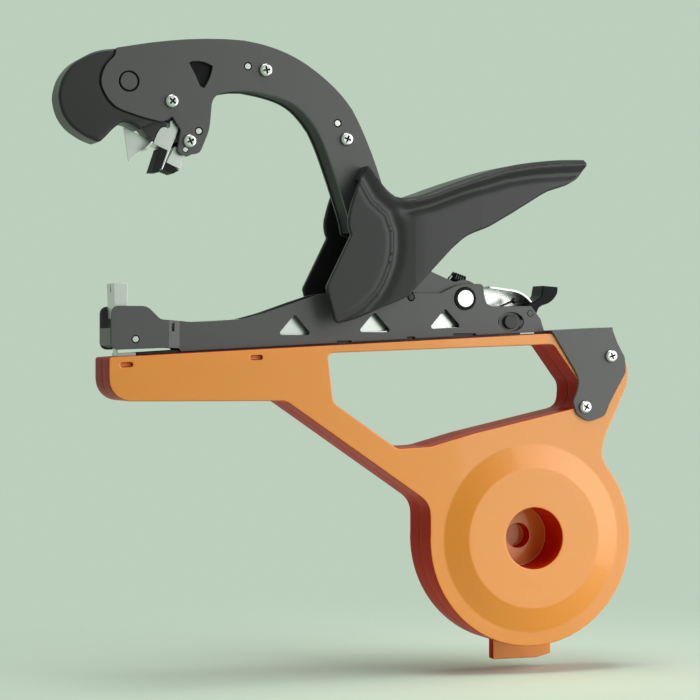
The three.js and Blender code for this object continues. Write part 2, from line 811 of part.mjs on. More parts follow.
// Folded sheet on the nose that leads the tape out, and the curved guide at its front
const outletShares = [
  [0.1, 0],
  [0.9, 0],
  [1, 1],
  [0, 1],
];
// The outlet's inside follows the same slopes past both of its ends
const throatShares = [
  [0.2, -1],
  [0.8, -1],
  [1.1, 2],
  [-0.1, 2],
];
const noseGuideShares = [
  [0, 1],
  [0, 0.15, 0.1],
  [1, 0, 0.05],
  [0.8, 0.5],
  [0.47, 1],
];

function addNose() {
  const corners = placed(outlet, outletShares);
  const inside = {
    ...outlet,
    left: outlet.left + outlet.steel,
    length: outlet.length - 2 * outlet.steel,
  };
  const clear = outlet.half - outlet.steel;
  const throat = plate(outlineOf(inside, throatShares), -clear, clear);
  const feet = block(
    outletFeet.left,
    rightOf(outletFeet),
    rest - noseInside,
    noseInside - rest,
    outletFeet.bottom,
    topOf(outletFeet),
  );
  const sleeve = join(plate(rounded(corners), -outlet.half, outlet.half), feet);
  const notch = block(
    outlet.left - overrun,
    outlet.left + outlet.length / 2,
    -outletNotch.half,
    outletNotch.half,
    topOf(outlet) - outletNotch.depth,
    topOf(outlet) + overrun,
  );
  add("tape_outlet", cut(sleeve, throat, notch), "steel");
  const guideOutline = outlineOf(noseGuide, noseGuideShares);
  add("nose_guide", plate(guideOutline, rest - noseInside, noseInside - rest), "satin");
}

// Pivots

function addPivots() {
  const bushFace = channel.half + mainPivot.bushProud;
  const pinFace = channel.half + mainPivot.pinProud;
  const bushInside = channelInside - rest;
  const bush = (near, far) =>
    cut(
      bar(mainPivot.bush, near, far, mainPivot),
      bar(mainPivot.pin + rest, near - overrun, far + overrun, mainPivot),
    );
  add("pivot_bush_near", bush(-bushFace, -bushInside), "black");
  add("pivot_bush_far", bush(bushInside, bushFace), "black");
  add("main_pivot_pin", bar(mainPivot.pin, -pinFace, pinFace, mainPivot), "steel");
  const collarFace = channel.half + rest;
  const collar = [bushInside, collarFace];
  const rearPin = join(
    bar(rearPivot.pin, -collarFace, collarFace, rearPivot),
    bar(rearPivot.collar, -collar[1], -collar[0], rearPivot),
    bar(rearPivot.collar, collar[0], collar[1], rearPivot),
  );
  add("rear_pin", rearPin, "black");
  addGuard();
  addRearSpring();
  addTab();
}

// Bright band over the rear pin, on two webs
const guardEndShares = { right: 0.185, top: 0.461 };
const guardWebShares = [
  [0.32, -0.066],
  [0.534, 0.066],
  [0.194, 0.93],
  [0.049, 0.96],
];

function addGuard() {
  const centre = new THREE.Vector2(rearPivot.x, rearPivot.z);
  const [right, top] = [guardEndShares.right, guardEndShares.top].map((share) => share * Math.PI);
  const arc = arcPoints(centre, guardBand.radius, right, top - right);
  const leftEnd = new THREE.Vector2(guard.left, topOf(guard));
  const band = plate(strap([...arc, leftEnd], guardBand.steel), -guardBand.half, guardBand.half);
  const web = (near, far) =>
    join(plate(outlineOf(guard, guardWebShares), near, far), bar(guardBand.hub, near, far, rearPivot));
  const inner = guardBand.half - guardBand.web;
  const whole = join(band, web(-guardBand.half, -inner), web(inner, guardBand.half));
  add("spring_guard", cut(whole, bar(rearPivot.pin + rest, -shell.half, shell.half, rearPivot)), "steel");
}

// Torsion spring on the rear pin, with a leg that ends in a knob
const springLegShares = [
  [0.02, 0.3],
  [0.243, 0.42],
  [0.578, 0.599],
];

function addRearSpring() {
  const width = rearSpring.pitch * rearSpring.turns;
  const start = new THREE.Vector3(rearPivot.x, width / 2, rearPivot.z);
  const toNear = new THREE.Vector3(0, -1, 0);
  const coil = helix(start, toNear, new THREE.Vector3(-1, 0, 0), rearSpring);
  const leg = pointsOn(guard, springLegShares).map(({ x, z }) => new THREE.Vector3(x, -width / 2, z));
  const points = [...coil, ...leg.slice(1)];
  reportGap("rear_spring", coil, rearSpring.wire);
  const tip = leg.at(-1);
  const knobSides = roundSides(rearSpring.knob);
  const knob = new THREE.SphereGeometry(rearSpring.knob, knobSides, knobSides / 2);
  knob.translate(tip.x, tip.y, tip.z);
  add("rear_spring", join(wire(points, rearSpring.wire), toSolid(knob)), "black");
}

// Finger tab at the rear of the magazine
const tabShares = [
  [0, 0.25],
  [0.091, 0.354],
  [0.273, 0.375],
  [0.352, 0.486],
  [0.534, 0.688],
  [0.608, 1, 0.05],
  [1, 0.944, 0.08],
  [0.943, 0.674, 0.08],
  [0.688, 0.556],
  [0.46, 0.306],
  [0.398, 0.097, 0.08],
  [0.205, 0, 0.08],
  [0.034, 0.028, 0.08],
];

function addTab() {
  const bore = bar(tabPivot.pin + rest, -channel.half, channel.half, tabPivot);
  add("release_tab", cut(plate(outlineOf(tab, tabShares), -tab.half, tab.half), bore), "black");
  const face = channel.half + rest;
  add("tab_pin", bar(tabPivot.pin, -face, face, tabPivot), "steel");
}

// Arm

const armBackShares = [
  [0.049, 0.942],
  [0.185, 0.978],
  [0.328, 0.999],
  [0.473, 0.996],
  [0.603, 0.945],
  [0.713, 0.848],
  [0.802, 0.721],
  [0.859, 0.562],
  [0.902, 0.401],
  [0.927, 0.277],
];
const armFootShares = [
  [0.931, 0.144],
  [0.989, 0.033, 0.012],
  [0.914, 0.072],
  [0.808, 0.127],
];
const armInnerShares = [
  [0.8, 0.188],
  [0.781, 0.277],
  [0.736, 0.465],
  [0.695, 0.601],
  [0.636, 0.7],
  [0.57, 0.746],
  [0.473, 0.773],
  [0.414, 0.767],
];
const armThroatShares = [
  [0.354, 0.745, 0.06],
  [0.344, 0.588],
  [0.313, 0.48, 0.03],
  [0.238, 0.462, 0.03],
  [0.252, 0.584],
  [0.225, 0.642],
  [0.198, 0.615],
];
const armFrontShares = [
  [0.149, 0.629],
  [0.089, 0.654],
  [0.042, 0.683],
  [0.01, 0.744],
  [0.001, 0.8],
  [0.017, 0.864],
  [0.045, 0.906],
];
const pickWindowShares = [
  [0.278, 0.886],
  [0.287, 0.895],
  [0.323, 0.897],
  [0.354, 0.876],
  [0.345, 0.822],
  [0.326, 0.775],
  [0.313, 0.784],
  [0.3, 0.828],
];
const armScrewShares = [
  [0.223, 0.711],
  [0.28, 0.533],
  [0.525, 0.867],
  [0.792, 0.563],
];
const armPinShares = [
  [0.309, 0.58],
  [0.467, 0.882],
  [0.762, 0.636],
];
const plugShares = [[0.088, 0.794]];
const headFaceShares = [
  [0.526, 0.992],
  [0.276, 0.919],
  [0.095, 0.772],
  [0.002, 0.565],
  [0, 0.393],
  [0.083, 0.196],
  [0.212, 0.079],
  [0.35, 0.018],
];
const headBackShares = [
  [0.388, 0.005, 0.02],
  [0.55, 0.17],
  [0.626, 0.215],
  [0.79, 0.147],
  [0.976, 0.236],
  [0.976, 0.851],
  [0.762, 1.013],
];
const yokeShares = [
  [0.022, 1],
  [0.306, 1],
  [0.429, 0.755],
  [0.763, 0.367],
  [0.98, 0.28],
  [0.918, 0.031],
  [0.837, 0],
  [0.102, 0.551],
  [0, 0.918],
];
const armCorners = [
  ...smooth(arm, armBackShares, 22),
  ...placed(arm, armFootShares),
  ...smooth(arm, armInnerShares, 14),
  ...placed(arm, armThroatShares),
  ...smooth(arm, armFrontShares, 12),
];
const headCorners = [...smooth(head, headFaceShares, 14), ...placed(head, headBackShares)];
const armScrews = pointsOn(arm, armScrewShares);
const armPins = pointsOn(arm, armPinShares);
const [plugCentre] = pointsOn(arm, plugShares);
const armInside = armHalf - armSteel;
const coreHalf = armInside - rest;

// The room that a neighbour's outline needs, with a clearance all round
const roomFor = (corners, clearance, half) => plate(rounded(moved(corners, clearance)), -half, half);

function addArm() {
  const faceHoles = (near, far, pinHole) => [
    ...armScrews.map((centre) => bar(screw.shank + rest, near - overrun, far + overrun, centre)),
    ...armPins.map((centre) => bar(pinHole, near - overrun, far + overrun, centre)),
    bar(plug.radius + rest, near - overrun, far + overrun, plugCentre),
    bar(catcherPivot.pin + rest, near - overrun, far + overrun, catcherPivot),
  ];
  const armPlate = (near, far) =>
    cut(
      plate(rounded(armCorners), near, far),
      plate(outlineOf(arm, pickWindowShares), near - overrun, far + overrun),
      ...faceHoles(near, far, armPin.hole),
    );
  add("arm_plate_near", armPlate(-armHalf, -armInside), "satin");
  add("arm_plate_far", armPlate(armInside, armHalf), "satin");
  const yokeInside = yoke.half - yoke.steel;
  const yokeGap = plate(rounded(moved(placed(yoke, yokeShares), rest)), yokeInside - rest, armHalf);
  const coreStart = arm.left + coreFront;
  const pocketBack = arm.left + catcherPocket.back;
  const pocketTop = topOf(arm) - catcherPocket.drop;
  const core = cut(
    plate(rounded(moved(armCorners, -coreInset)), -coreHalf, coreHalf),
    block(arm.left - overrun, coreStart, -armHalf, armHalf, arm.bottom, topOf(arm)),
    block(coreStart - overrun, pocketBack, -armHalf, armHalf, arm.bottom, pocketTop),
    roomFor(headCorners, 2 * rest, armHalf),
    roomFor(placed(under, clawShares), 2 * rest, armHalf),
    roomFor(placed(under, holderShares), rest, armHalf),
    roomFor(placed(knife, knifeShares), rest, armHalf),
    yokeGap,
    yokeGap.mirror([0, 1, 0]),
    ...faceHoles(-coreHalf, coreHalf, armPin.radius + rest),
  );
  add("arm_core", core, "moulding");
  const headBody = cut(
    plate(rounded(headCorners), -coreHalf, coreHalf),
    roomFor(placed(knife, knifeShares), rest, armHalf),
    roomFor(placed(under, clincherShares), rest, armHalf),
    roomFor(placed(under, holderShares), rest, armHalf),
    roomFor(placed(under, clawShares), rest, armHalf),
    ...faceHoles(-coreHalf, coreHalf, armPin.radius + rest),
  );
  add("head_block", headBody, "moulding");
  add("head_plug", bar(plug.radius, -armHalf - plug.proud, armHalf + plug.proud, plugCentre), "black");
  armScrews.forEach((centre, i) => {
    const end = armHalf + rest + screw.nutRise;
    const nut = cone(screw.nut, screw.nut, armHalf + rest, end, centre, screw.nutSides);
    const bore = bar(screw.shank + rest, armHalf, end + overrun, centre);
    add(`arm_screw_${i + 1}`, screwFrom(-armHalf, end - running, centre), "steel");
    add(`arm_nut_${i + 1}`, cut(nut, bore), "steel");
  });
  armPins.forEach((centre, i) => {
    add(`arm_pin_${i + 1}`, bar(armPin.radius, rest - armHalf, armHalf - rest, centre), "steel");
  });
  const yokeBody = plate(outlineOf(yoke, yokeShares), yokeInside, yoke.half);
  const eye = bar(yoke.eye, yokeInside, yoke.half, mainPivot);
  const eyeHole = bar(mainPivot.pin + running, 0, shell.half, mainPivot);
  const farYoke = cut(join(yokeBody, eye), eyeHole);
  add("yoke_far", farYoke, "satin");
  add("yoke_near", farYoke.mirror([0, 1, 0]), "satin");
}

// Tools under the head: knife, its holder, the clincher and the catcher

const knifeShares = [
  [0, 1],
  [1, 0.601],
  [0.183, 0],
];
const clincherShares = [
  [0, 0.745],
  [0.185, 0.818],
  [0.22, 0.676],
  [0.2, 0.635],
];
const holderShares = [
  [0.235, 0.68],
  [0.21, 0.824],
  [0.38, 0.896],
  [0.65, 1],
  [0.485, 0.842],
  [0.335, 0.649],
  [0.265, 0.617],
];
const clawShares = [
  [0.67, 0.95],
  [0.785, 0.865],
  [0.61, 0.473],
  [0.385, 0.059],
  [0.4, 0.468],
  [0.27, 0.527],
  [0.505, 0.829],
];
const clawPadShares = [
  [0.3725, 0.45],
  [0.3, 0.477],
  [0.225, 0],
  [0.3625, 0],
];
const catcherShares = [
  [0.71, 0.473],
  [0.85, 0.49],
  [0.975, 0.39],
  [0.89, 0.248],
  [0.83, 0.068],
  [0.535, 0.189],
];
const catcherPadShares = [
  [0.46, 0.059],
  [0.52, 0.171],
  [0.81, 0.05],
  [0.685, -0.014],
];

function addTools() {
  add("tape_knife", plate(outlineOf(knife, knifeShares), -bladeHalf, bladeHalf), "steel");
  const tools = {
    clincher: [clincherShares, "steel"],
    knife_holder: [holderShares, "black"],
    catcher_claw: [clawShares, "steel"],
    claw_pad: [clawPadShares, "black"],
    catcher_pad: [catcherPadShares, "black"],
  };
  const screwRoom = armScrews.map((centre) => bar(screw.shank + rest, -armHalf, armHalf, centre));
  Object.entries(tools).forEach(([name, [rows, finish]]) => {
    add(name, cut(plate(outlineOf(under, rows), -toolHalf, toolHalf), ...screwRoom), finish);
  });
  const catcher = join(
    plate(outlineOf(under, catcherShares), -toolHalf, toolHalf),
    bar(catcherPivot.eye, -toolHalf, toolHalf, catcherPivot),
  );
  const bore = bar(catcherPivot.pin + rest, -armHalf, armHalf, catcherPivot);
  add("catcher_lever", cut(catcher, bore), "steel");
  const pinFace = armHalf + rest;
  add("catcher_pin", bar(catcherPivot.pin, -pinFace, pinFace, catcherPivot), "steel");
}

// Return spring, on a bent rod out of the grip

const springRodShares = [
  [0, 1],
  [0.528, 0.325],
  [0.683, 0.152],
  [1, 0],
];
const springStartShares = [[0.449, 0.422]];

function addReturnSpring() {
  const path = pointsOn(springSeat, springRodShares).map(({ x, z }) => new THREE.Vector3(x, 0, z));
  const axis = path[1].clone().sub(path[0]).normalize();
  const [startPoint] = pointsOn(springSeat, springStartShares);
  const start = new THREE.Vector3(startPoint.x, 0, startPoint.z);
  const points = helix(start, axis, new THREE.Vector3(0, -1, 0), returnSpring);
  reportGap("return_spring", points, returnSpring.wire);
  add("return_spring", wire(points, returnSpring.wire), "black");
  add("spring_rod", wire(path, returnSpring.rod), "steel");
  return wire(path.slice(0, 2), returnSpring.rod + running);
}

// Grip

const gripTopShares = [
  [0.995, 0.999],
  [0.907, 0.994],
  [0.796, 0.973],
  [0.686, 0.938],
  [0.576, 0.881],
  [0.467, 0.82],
  [0.387, 0.772],
  [0.318, 0.744],
  [0.264, 0.747],
  [0.218, 0.808],
  [0.166, 0.919],
];
const gripHornShares = [
  [0.159, 0.922],
  [0.117, 0.804],
  [0.081, 0.608],
  [0.093, 0.517],
];
const gripNoseShares = [
  [0, 0.215, 0.03],
  [0.036, 0, 0.03],
];
const gripUnderShares = [
  [0.117, 0.035],
  [0.19, 0.085],
  [0.31, 0.164],
  [0.328, 0.194],
  [0.403, 0.317],
  [0.501, 0.476],
  [0.575, 0.559],
  [0.686, 0.662],
  [0.802, 0.778],
  [0.852, 0.825],
  [0.952, 0.88],
  [0.986, 0.922],
  [1, 0.969],
];
const gripPlanShares = [
  [0, 1],
  [0.34, 1],
  [0.6, 0.88],
  [0.85, 0.72],
  [1, 0.58],
];
const gripSlotShares = [
  [-0.1, 1.1],
  [0.28, 1.1],
  [0.28, 0.664],
  [0.35, 0.497],
  [0.419, 0.357],
  [0.468, 0.273],
  [0.507, -0.15],
  [-0.1, -0.15],
];
const gripPocketShares = [
  [-0.1, -0.077],
  [0.301, 0.105],
  [0.361, 0.329],
  [0.335, 0.441],
  [0.275, 0.608],
  [0.198, 0.748],
  [0.095, 0.888],
  [-0.1, 0.972],
];

function addGrip(rodHole) {
  const corners = [
    ...smooth(grip, gripTopShares, 20),
    ...smooth(grip, gripHornShares, 6),
    ...placed(grip, gripNoseShares),
    ...smooth(grip, gripUnderShares, 20),
  ];
  const side = gripPlanShares.map(([x, y]) => [grip.left + x * grip.length, y * gripHalf]);
  const plan = [...side, ...side.map(([x, y]) => [x, -y]).reverse()];
  const blank = common(
    plate(rounded(corners), -gripHalf, gripHalf),
    raised(
      plan.map(([x, y]) => new THREE.Vector2(x, y)),
      grip.bottom - overrun,
      topOf(grip) + overrun,
    ),
  );
  const slot = plate(outlineOf(grip, gripSlotShares), -gripSlotHalf, gripSlotHalf);
  const pocket = plate(outlineOf(grip, gripPocketShares), -gripPocketHalf, gripPocketHalf);
  const armRoom = roomFor(armCorners, running, gripSlotHalf);
  const yokeRoom = roomFor(placed(yoke, yokeShares), running, yoke.half + running);
  add("grip", cut(blank, slot, pocket, armRoom, yokeRoom, rodHole), "moulding");
}

addCasing();
addFrame();
addMagazine();
addNose();
addPivots();
addArm();
addTools();
addGrip(addReturnSpring());

export default tool;
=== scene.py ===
# Plant tying tool: an orange casing for the tape roll, a staple magazine and a goose-necked squeeze arm.
# Everything is in metres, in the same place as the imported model.
import bpy
import json
import math
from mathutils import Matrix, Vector


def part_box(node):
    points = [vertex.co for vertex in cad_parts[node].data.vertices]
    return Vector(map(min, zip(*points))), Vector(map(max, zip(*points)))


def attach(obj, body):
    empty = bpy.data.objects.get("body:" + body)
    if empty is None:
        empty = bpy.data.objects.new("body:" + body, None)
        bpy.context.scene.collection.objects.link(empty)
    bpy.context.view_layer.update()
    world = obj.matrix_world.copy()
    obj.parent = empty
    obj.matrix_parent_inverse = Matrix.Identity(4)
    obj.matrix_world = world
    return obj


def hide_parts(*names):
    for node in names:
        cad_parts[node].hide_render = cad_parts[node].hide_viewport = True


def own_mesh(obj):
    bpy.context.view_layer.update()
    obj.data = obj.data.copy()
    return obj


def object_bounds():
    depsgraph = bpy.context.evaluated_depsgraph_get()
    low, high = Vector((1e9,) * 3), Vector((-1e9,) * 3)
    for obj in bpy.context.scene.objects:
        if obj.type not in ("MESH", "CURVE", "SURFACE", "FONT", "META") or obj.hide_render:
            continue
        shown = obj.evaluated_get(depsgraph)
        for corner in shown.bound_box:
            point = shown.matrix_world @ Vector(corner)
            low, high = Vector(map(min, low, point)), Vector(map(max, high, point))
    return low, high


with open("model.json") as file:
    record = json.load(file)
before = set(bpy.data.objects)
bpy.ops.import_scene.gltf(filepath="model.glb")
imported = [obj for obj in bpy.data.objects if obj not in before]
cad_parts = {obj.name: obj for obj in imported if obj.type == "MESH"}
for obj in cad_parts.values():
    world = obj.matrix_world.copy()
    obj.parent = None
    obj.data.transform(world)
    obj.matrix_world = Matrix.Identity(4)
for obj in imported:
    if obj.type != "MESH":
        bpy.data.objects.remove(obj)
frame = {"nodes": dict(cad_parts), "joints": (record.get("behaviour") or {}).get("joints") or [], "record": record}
cadBox = [list(corner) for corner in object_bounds()]
mm = 0.001
nodes = frame["nodes"]
slotOf = {row["node"]: row["material_slot"] for row in frame["record"]["subparts"]}
bodies = frame["record"]["behaviour"]["bodies"]
bodyOf = {node: body for body, members in bodies.items() for node in members}
jointOf = {joint["name"]: joint for joint in frame["joints"]}
print("frame loaded:", len(nodes), "nodes")

# Finishes: worn is the second colour of a slow drift over the piece, gloss the strength of the highlight,
# grain the scale of the fine tooth, and glow the share of the light that goes in and comes out again

surfaces = {
    "orange_casing": {"colour": (0.86, 0.285, 0.004), "worn": (0.88, 0.305, 0.006), "roughness": 0.40,
                      "metal": 0.0, "gloss": 0.80, "grain": 2600, "bump": 0.05, "coat": 0.20, "glow": 0.35},
    "grey_steel": {"colour": (0.055, 0.055, 0.056), "worn": (0.067, 0.067, 0.068), "roughness": 0.42,
                   "metal": 0.0, "gloss": 0.60, "grain": 5200, "bump": 0.08, "coat": 0.0, "glow": 0},
    "grey_moulding": {"colour": (0.028, 0.028, 0.0285), "worn": (0.033, 0.033, 0.0335), "roughness": 0.38,
                      "metal": 0.0, "gloss": 0.28, "grain": 3200, "bump": 0.06, "coat": 0.0, "glow": 0},
    "black_plastic": {"colour": (0.005, 0.005, 0.005), "worn": (0.008, 0.008, 0.008), "roughness": 0.42,
                      "metal": 0.0, "gloss": 0.10, "grain": 3200, "bump": 0.06, "coat": 0.0, "glow": 0},
    "bright_steel": {"colour": (0.52, 0.52, 0.52), "worn": (0.60, 0.60, 0.60), "roughness": 0.28,
                     "metal": 1.0, "gloss": 0.50, "grain": 6000, "bump": 0.04, "coat": 0.0, "glow": 0},
    "black_steel": {"colour": (0.010, 0.010, 0.010), "worn": (0.018, 0.018, 0.018), "roughness": 0.34,
                    "metal": 0.0, "gloss": 0.40, "grain": 6000, "bump": 0.05, "coat": 0.0, "glow": 0},
    "black_rubber": {"colour": (0.006, 0.006, 0.006), "worn": (0.010, 0.010, 0.010), "roughness": 0.7,
                     "metal": 0.0, "gloss": 0.25, "grain": 2400, "bump": 0.12, "coat": 0.0, "glow": 0},
}
paintedShadeWallOf = {  # painted shade: the casing's walls get a darker, redder copy of its finish with little gloss; steep is the most of Y in a wall's normal
    "orange_casing": {"colour": (0.60, 0.018, 0.002), "worn": (0.66, 0.026, 0.003), "roughness": 0.30,
                      "gloss": 0.02, "coat": 0.0, "steep": 0.5},
}
finish = {"driftScale": 38, "driftDetail": 3, "grainDetail": 2, "smoother": 0.05, "rougher": 0.07,
          "toothDepth": 0.05 * mm, "glowDepth": 4 * mm, "glowTint": (1.0, 0.10, 0.02)}


def fillIn(node, values):
    for name, value in values.items():
        node.inputs[name].default_value = value


def linkUp(tree, *pairs):
    for source, target in pairs:
        tree.links.new(source, target)


def newMaterial(name):
    material = bpy.data.materials.new(name)
    material.use_nodes = True
    return material, material.node_tree, material.node_tree.nodes["Principled BSDF"]


def makeSurface(name, look):
    material, tree, shader = newMaterial(name)
    fillIn(shader, {"Metallic": look["metal"], "Specular IOR Level": look["gloss"],
                    "Coat Weight": look["coat"], "Subsurface Weight": look["glow"],
                    "Subsurface Scale": finish["glowDepth"], "Subsurface Radius": finish["glowTint"]})
    place = tree.nodes.new("ShaderNodeTexCoord")
    drift = tree.nodes.new("ShaderNodeTexNoise")  # slow drift of the colour over the piece
    fillIn(drift, {"Scale": finish["driftScale"], "Detail": finish["driftDetail"]})
    grain = tree.nodes.new("ShaderNodeTexNoise")  # fine tooth of the surface
    fillIn(grain, {"Scale": look["grain"], "Detail": finish["grainDetail"]})
    tint = tree.nodes.new("ShaderNodeMix")
    tint.data_type = "RGBA"
    fillIn(tint, {"A": (*look["colour"], 1), "B": (*look["worn"], 1)})
    sheen = tree.nodes.new("ShaderNodeMapRange")
    fillIn(sheen, {"To Min": look["roughness"] - finish["smoother"],
                   "To Max": look["roughness"] + finish["rougher"]})
    bump = tree.nodes.new("ShaderNodeBump")
    fillIn(bump, {"Strength": look["bump"], "Distance": finish["toothDepth"]})
    linkUp(tree,
           (place.outputs["Object"], drift.inputs["Vector"]),
           (place.outputs["Object"], grain.inputs["Vector"]),
           (drift.outputs["Fac"], tint.inputs["Factor"]),
           (tint.outputs["Result"], shader.inputs["Base Color"]),
           (drift.outputs["Fac"], sheen.inputs["Value"]),
           (sheen.outputs["Result"], shader.inputs["Roughness"]),
           (grain.outputs["Fac"], bump.inputs["Height"]),
           (bump.outputs["Normal"], shader.inputs["Normal"]))
    return material


surfaceOf = {slot: makeSurface(slot, look) for slot, look in surfaces.items()}
# painted shade: a darker, redder copy of the casing's finish, for the walls that turn away from the light
paintedShadeWallSurfaceOf = {slot: makeSurface(slot + "_wall", {**surfaces[slot], **look})
                 for slot, look in paintedShadeWallOf.items()}
print("finishes:", ", ".join(surfaceOf))

# Hands: small steps that every piece needs

meshing = {"weld": 0.002 * mm, "flat": 0.4, "curveSteps": 8, "rimSteps": 2, "wireSteps": 3, "barSides": 40,
           "faceWeight": 60}
sharpOver = {"turned": 30, "hard": 32, "plate": 40, "round": 50}  # past these degrees an edge stays sharp


def deselectAll():
    if bpy.context.object and bpy.context.object.mode != "OBJECT":
        bpy.ops.object.mode_set(mode="OBJECT")
    bpy.ops.object.select_all(action="DESELECT")


def pickUp(piece):
    deselectAll()
    piece.select_set(True)
    bpy.context.view_layer.objects.active = piece


def applyAll(piece):
    pickUp(piece)
    for modifier in list(piece.modifiers):
        bpy.ops.object.modifier_apply(modifier=modifier.name)


def addObject(name, data):
    piece = bpy.data.objects.new(name, data)
    bpy.context.scene.collection.objects.link(piece)
    return piece


def freeze(piece, name):  # the piece's place goes into its mesh
    pickUp(piece)
    bpy.ops.object.transform_apply(location=True, rotation=True, scale=True)
    piece.name = name


def paint(piece, *slots):
    for slot in slots:
        piece.data.materials.append(surfaceOf[slot])


def settle(piece, body, slot, *replaced, painted=False):
    if not painted:
        piece.data.materials.clear()
        paint(piece, slot)
    # painted shade: faces whose normal turns away from Y take the darker wall finish
    if slot in paintedShadeWallOf:
        piece.data.materials.append(paintedShadeWallSurfaceOf[slot])
        for polygon in piece.data.polygons:
            polygon.material_index = int(abs(polygon.normal.y) < paintedShadeWallOf[slot]["steep"])
    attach(piece, body)
    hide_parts(*replaced)


def standFor(piece, node, slot=None, painted=False):  # the piece takes the place of one node
    settle(piece, bodyOf[node], slot or slotOf[node], node, painted=painted)


def copyOfNode(node, weld):
    piece = addObject(node + "_dressed", nodes[node].data.copy())
    pickUp(piece)
    bpy.ops.object.mode_set(mode="EDIT")
    bpy.ops.mesh.select_all(action="SELECT")
    bpy.ops.mesh.customdata_custom_splitnormals_clear()
    bpy.ops.mesh.remove_doubles(threshold=weld)
    bpy.ops.mesh.dissolve_limited(angle_limit=math.radians(meshing["flat"]))
    bpy.ops.object.mode_set(mode="OBJECT")
    return piece


def closeUp(piece):  # doubles merged, faces pointing outwards
    pickUp(piece)
    bpy.ops.object.mode_set(mode="EDIT")
    bpy.ops.mesh.select_all(action="SELECT")
    bpy.ops.mesh.remove_doubles(threshold=meshing["weld"])
    bpy.ops.mesh.normals_make_consistent(inside=False)
    bpy.ops.object.mode_set(mode="OBJECT")


def smoothFaces(piece, sharper):
    pickUp(piece)
    bpy.ops.object.shade_smooth_by_angle(angle=math.radians(sharper))
    flats = piece.modifiers.new("flats", "WEIGHTED_NORMAL")
    flats.keep_sharp = True
    flats.weight = meshing["faceWeight"]
    applyAll(piece)


def middleOf(node):
    low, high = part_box(node)
    return (low + high) / 2


# Edges: front is how square to Y a front face stands, slope how far a slope beside it has turned away,
# aside how little an edge that gives room runs along the one it meets. The small angles of a curved outline
# lie between least and most, on edges upright to the outline, with this room beside them.

edgeRule = {"steps": 2, "share": 0.42, "front": 0.999, "slope": 0.985, "aside": 0.8}
chordRule = {"reach": 2.2 * mm, "room": 1.5 * mm, "share": 0.4, "least": 3, "most": 48, "upright": 0.99}


def isRidge(along, first, second):  # a clear angle, or where a slope leaves a front face
    if first.angle(second, 0) > math.radians(sharpOver["hard"]):
        return True
    flatter, steeper = sorted((abs(first.y), abs(second.y)), reverse=True)
    return flatter > edgeRule["front"] and steeper < edgeRule["slope"]


def isChordCorner(along, first, second):
    least, most = math.radians(chordRule["least"]), math.radians(chordRule["most"])
    return abs(along.y) > chordRule["upright"] and least < first.angle(second, 0) < most


def isInZone(mesh, edge, zone):  # a zone is a round one, seen from the side: x, z, radius
    middle = (mesh.vertices[edge.vertices[0]].co + mesh.vertices[edge.vertices[1]].co) / 2
    return math.hypot(middle.x - zone[0], middle.z - zone[1]) < zone[2]


def edgeFacts(mesh):  # for each edge: its faces' normals, its direction, the room beside it, plain corners
    sides, spokes, alongOf, room = {}, {}, {}, {}
    for polygon in mesh.polygons:
        for key in polygon.edge_keys:
            sides.setdefault(key, []).append(polygon.normal.copy())
    for edge in mesh.edges:
        a, b = (mesh.vertices[corner].co for corner in edge.vertices)
        alongOf[edge.index] = (b - a).normalized()
        for corner in edge.vertices:
            spokes.setdefault(corner, []).append((edge.index, (b - a).length))
    for edge in mesh.edges:
        along = alongOf[edge.index]
        room[edge.index] = min([length for corner in edge.vertices for index, length in spokes[corner]
                                if index != edge.index and abs(along.dot(alongOf[index])) < edgeRule["aside"]],
                               default=1)
    plain = {edge.index: all(len(spokes[corner]) == 3 for corner in edge.vertices) for edge in mesh.edges}
    return sides, alongOf, room, plain


def bevelMarked(piece, width, isMarked, share, leastRoom=0, keepOff=None):  # narrower where room is short
    mesh = piece.data
    sides, alongOf, room, plain = edgeFacts(mesh)
    weights = mesh.attributes.new("bevel_weight_edge", "FLOAT", "EDGE")
    for edge in mesh.edges:
        normals = sides.get(edge.key, [])
        if leastRoom and (not plain[edge.index] or room[edge.index] < leastRoom):
            continue
        if keepOff and isInZone(mesh, edge, keepOff):
            continue
        if len(normals) == 2 and isMarked(alongOf[edge.index], *normals):
            weights.data[edge.index].value = min(1, share * room[edge.index] / width)
    bevel = piece.modifiers.new("edges", "BEVEL")
    bevel.width = width
    bevel.segments = edgeRule["steps"]
    bevel.limit_method = "WEIGHT"
    bevel.use_clamp_overlap = False
    bevel.loop_slide = False  # sliding along neighbours draws spikes at thin walls
    bevel.miter_outer = "MITER_ARC"
    applyAll(piece)
    left = piece.data.attributes.get("bevel_weight_edge")
    if left:
        piece.data.attributes.remove(left)


def roundOutline(piece, leastRoom=chordRule["room"], reach=chordRule["reach"], keepOff=None):
    bevelMarked(piece, reach, isChordCorner, chordRule["share"], leastRoom, keepOff)


def breakEdges(piece, width, keepOff=None):
    bevelMarked(piece, width, isRidge, edgeRule["share"], keepOff=keepOff)
    smoothFaces(piece, sharpOver["hard"])


# Makers: plates, round bars, wires and cuts


def inBox(corner, size, rows):  # shares of a box, as places
    return [(corner[0] + x * size[0], corner[1] + z * size[1], bool(soft)) for x, z, soft in rows]


def meshFrom(name, line):
    pickUp(addObject(name, line))
    bpy.ops.object.convert(target="MESH")
    return bpy.context.object


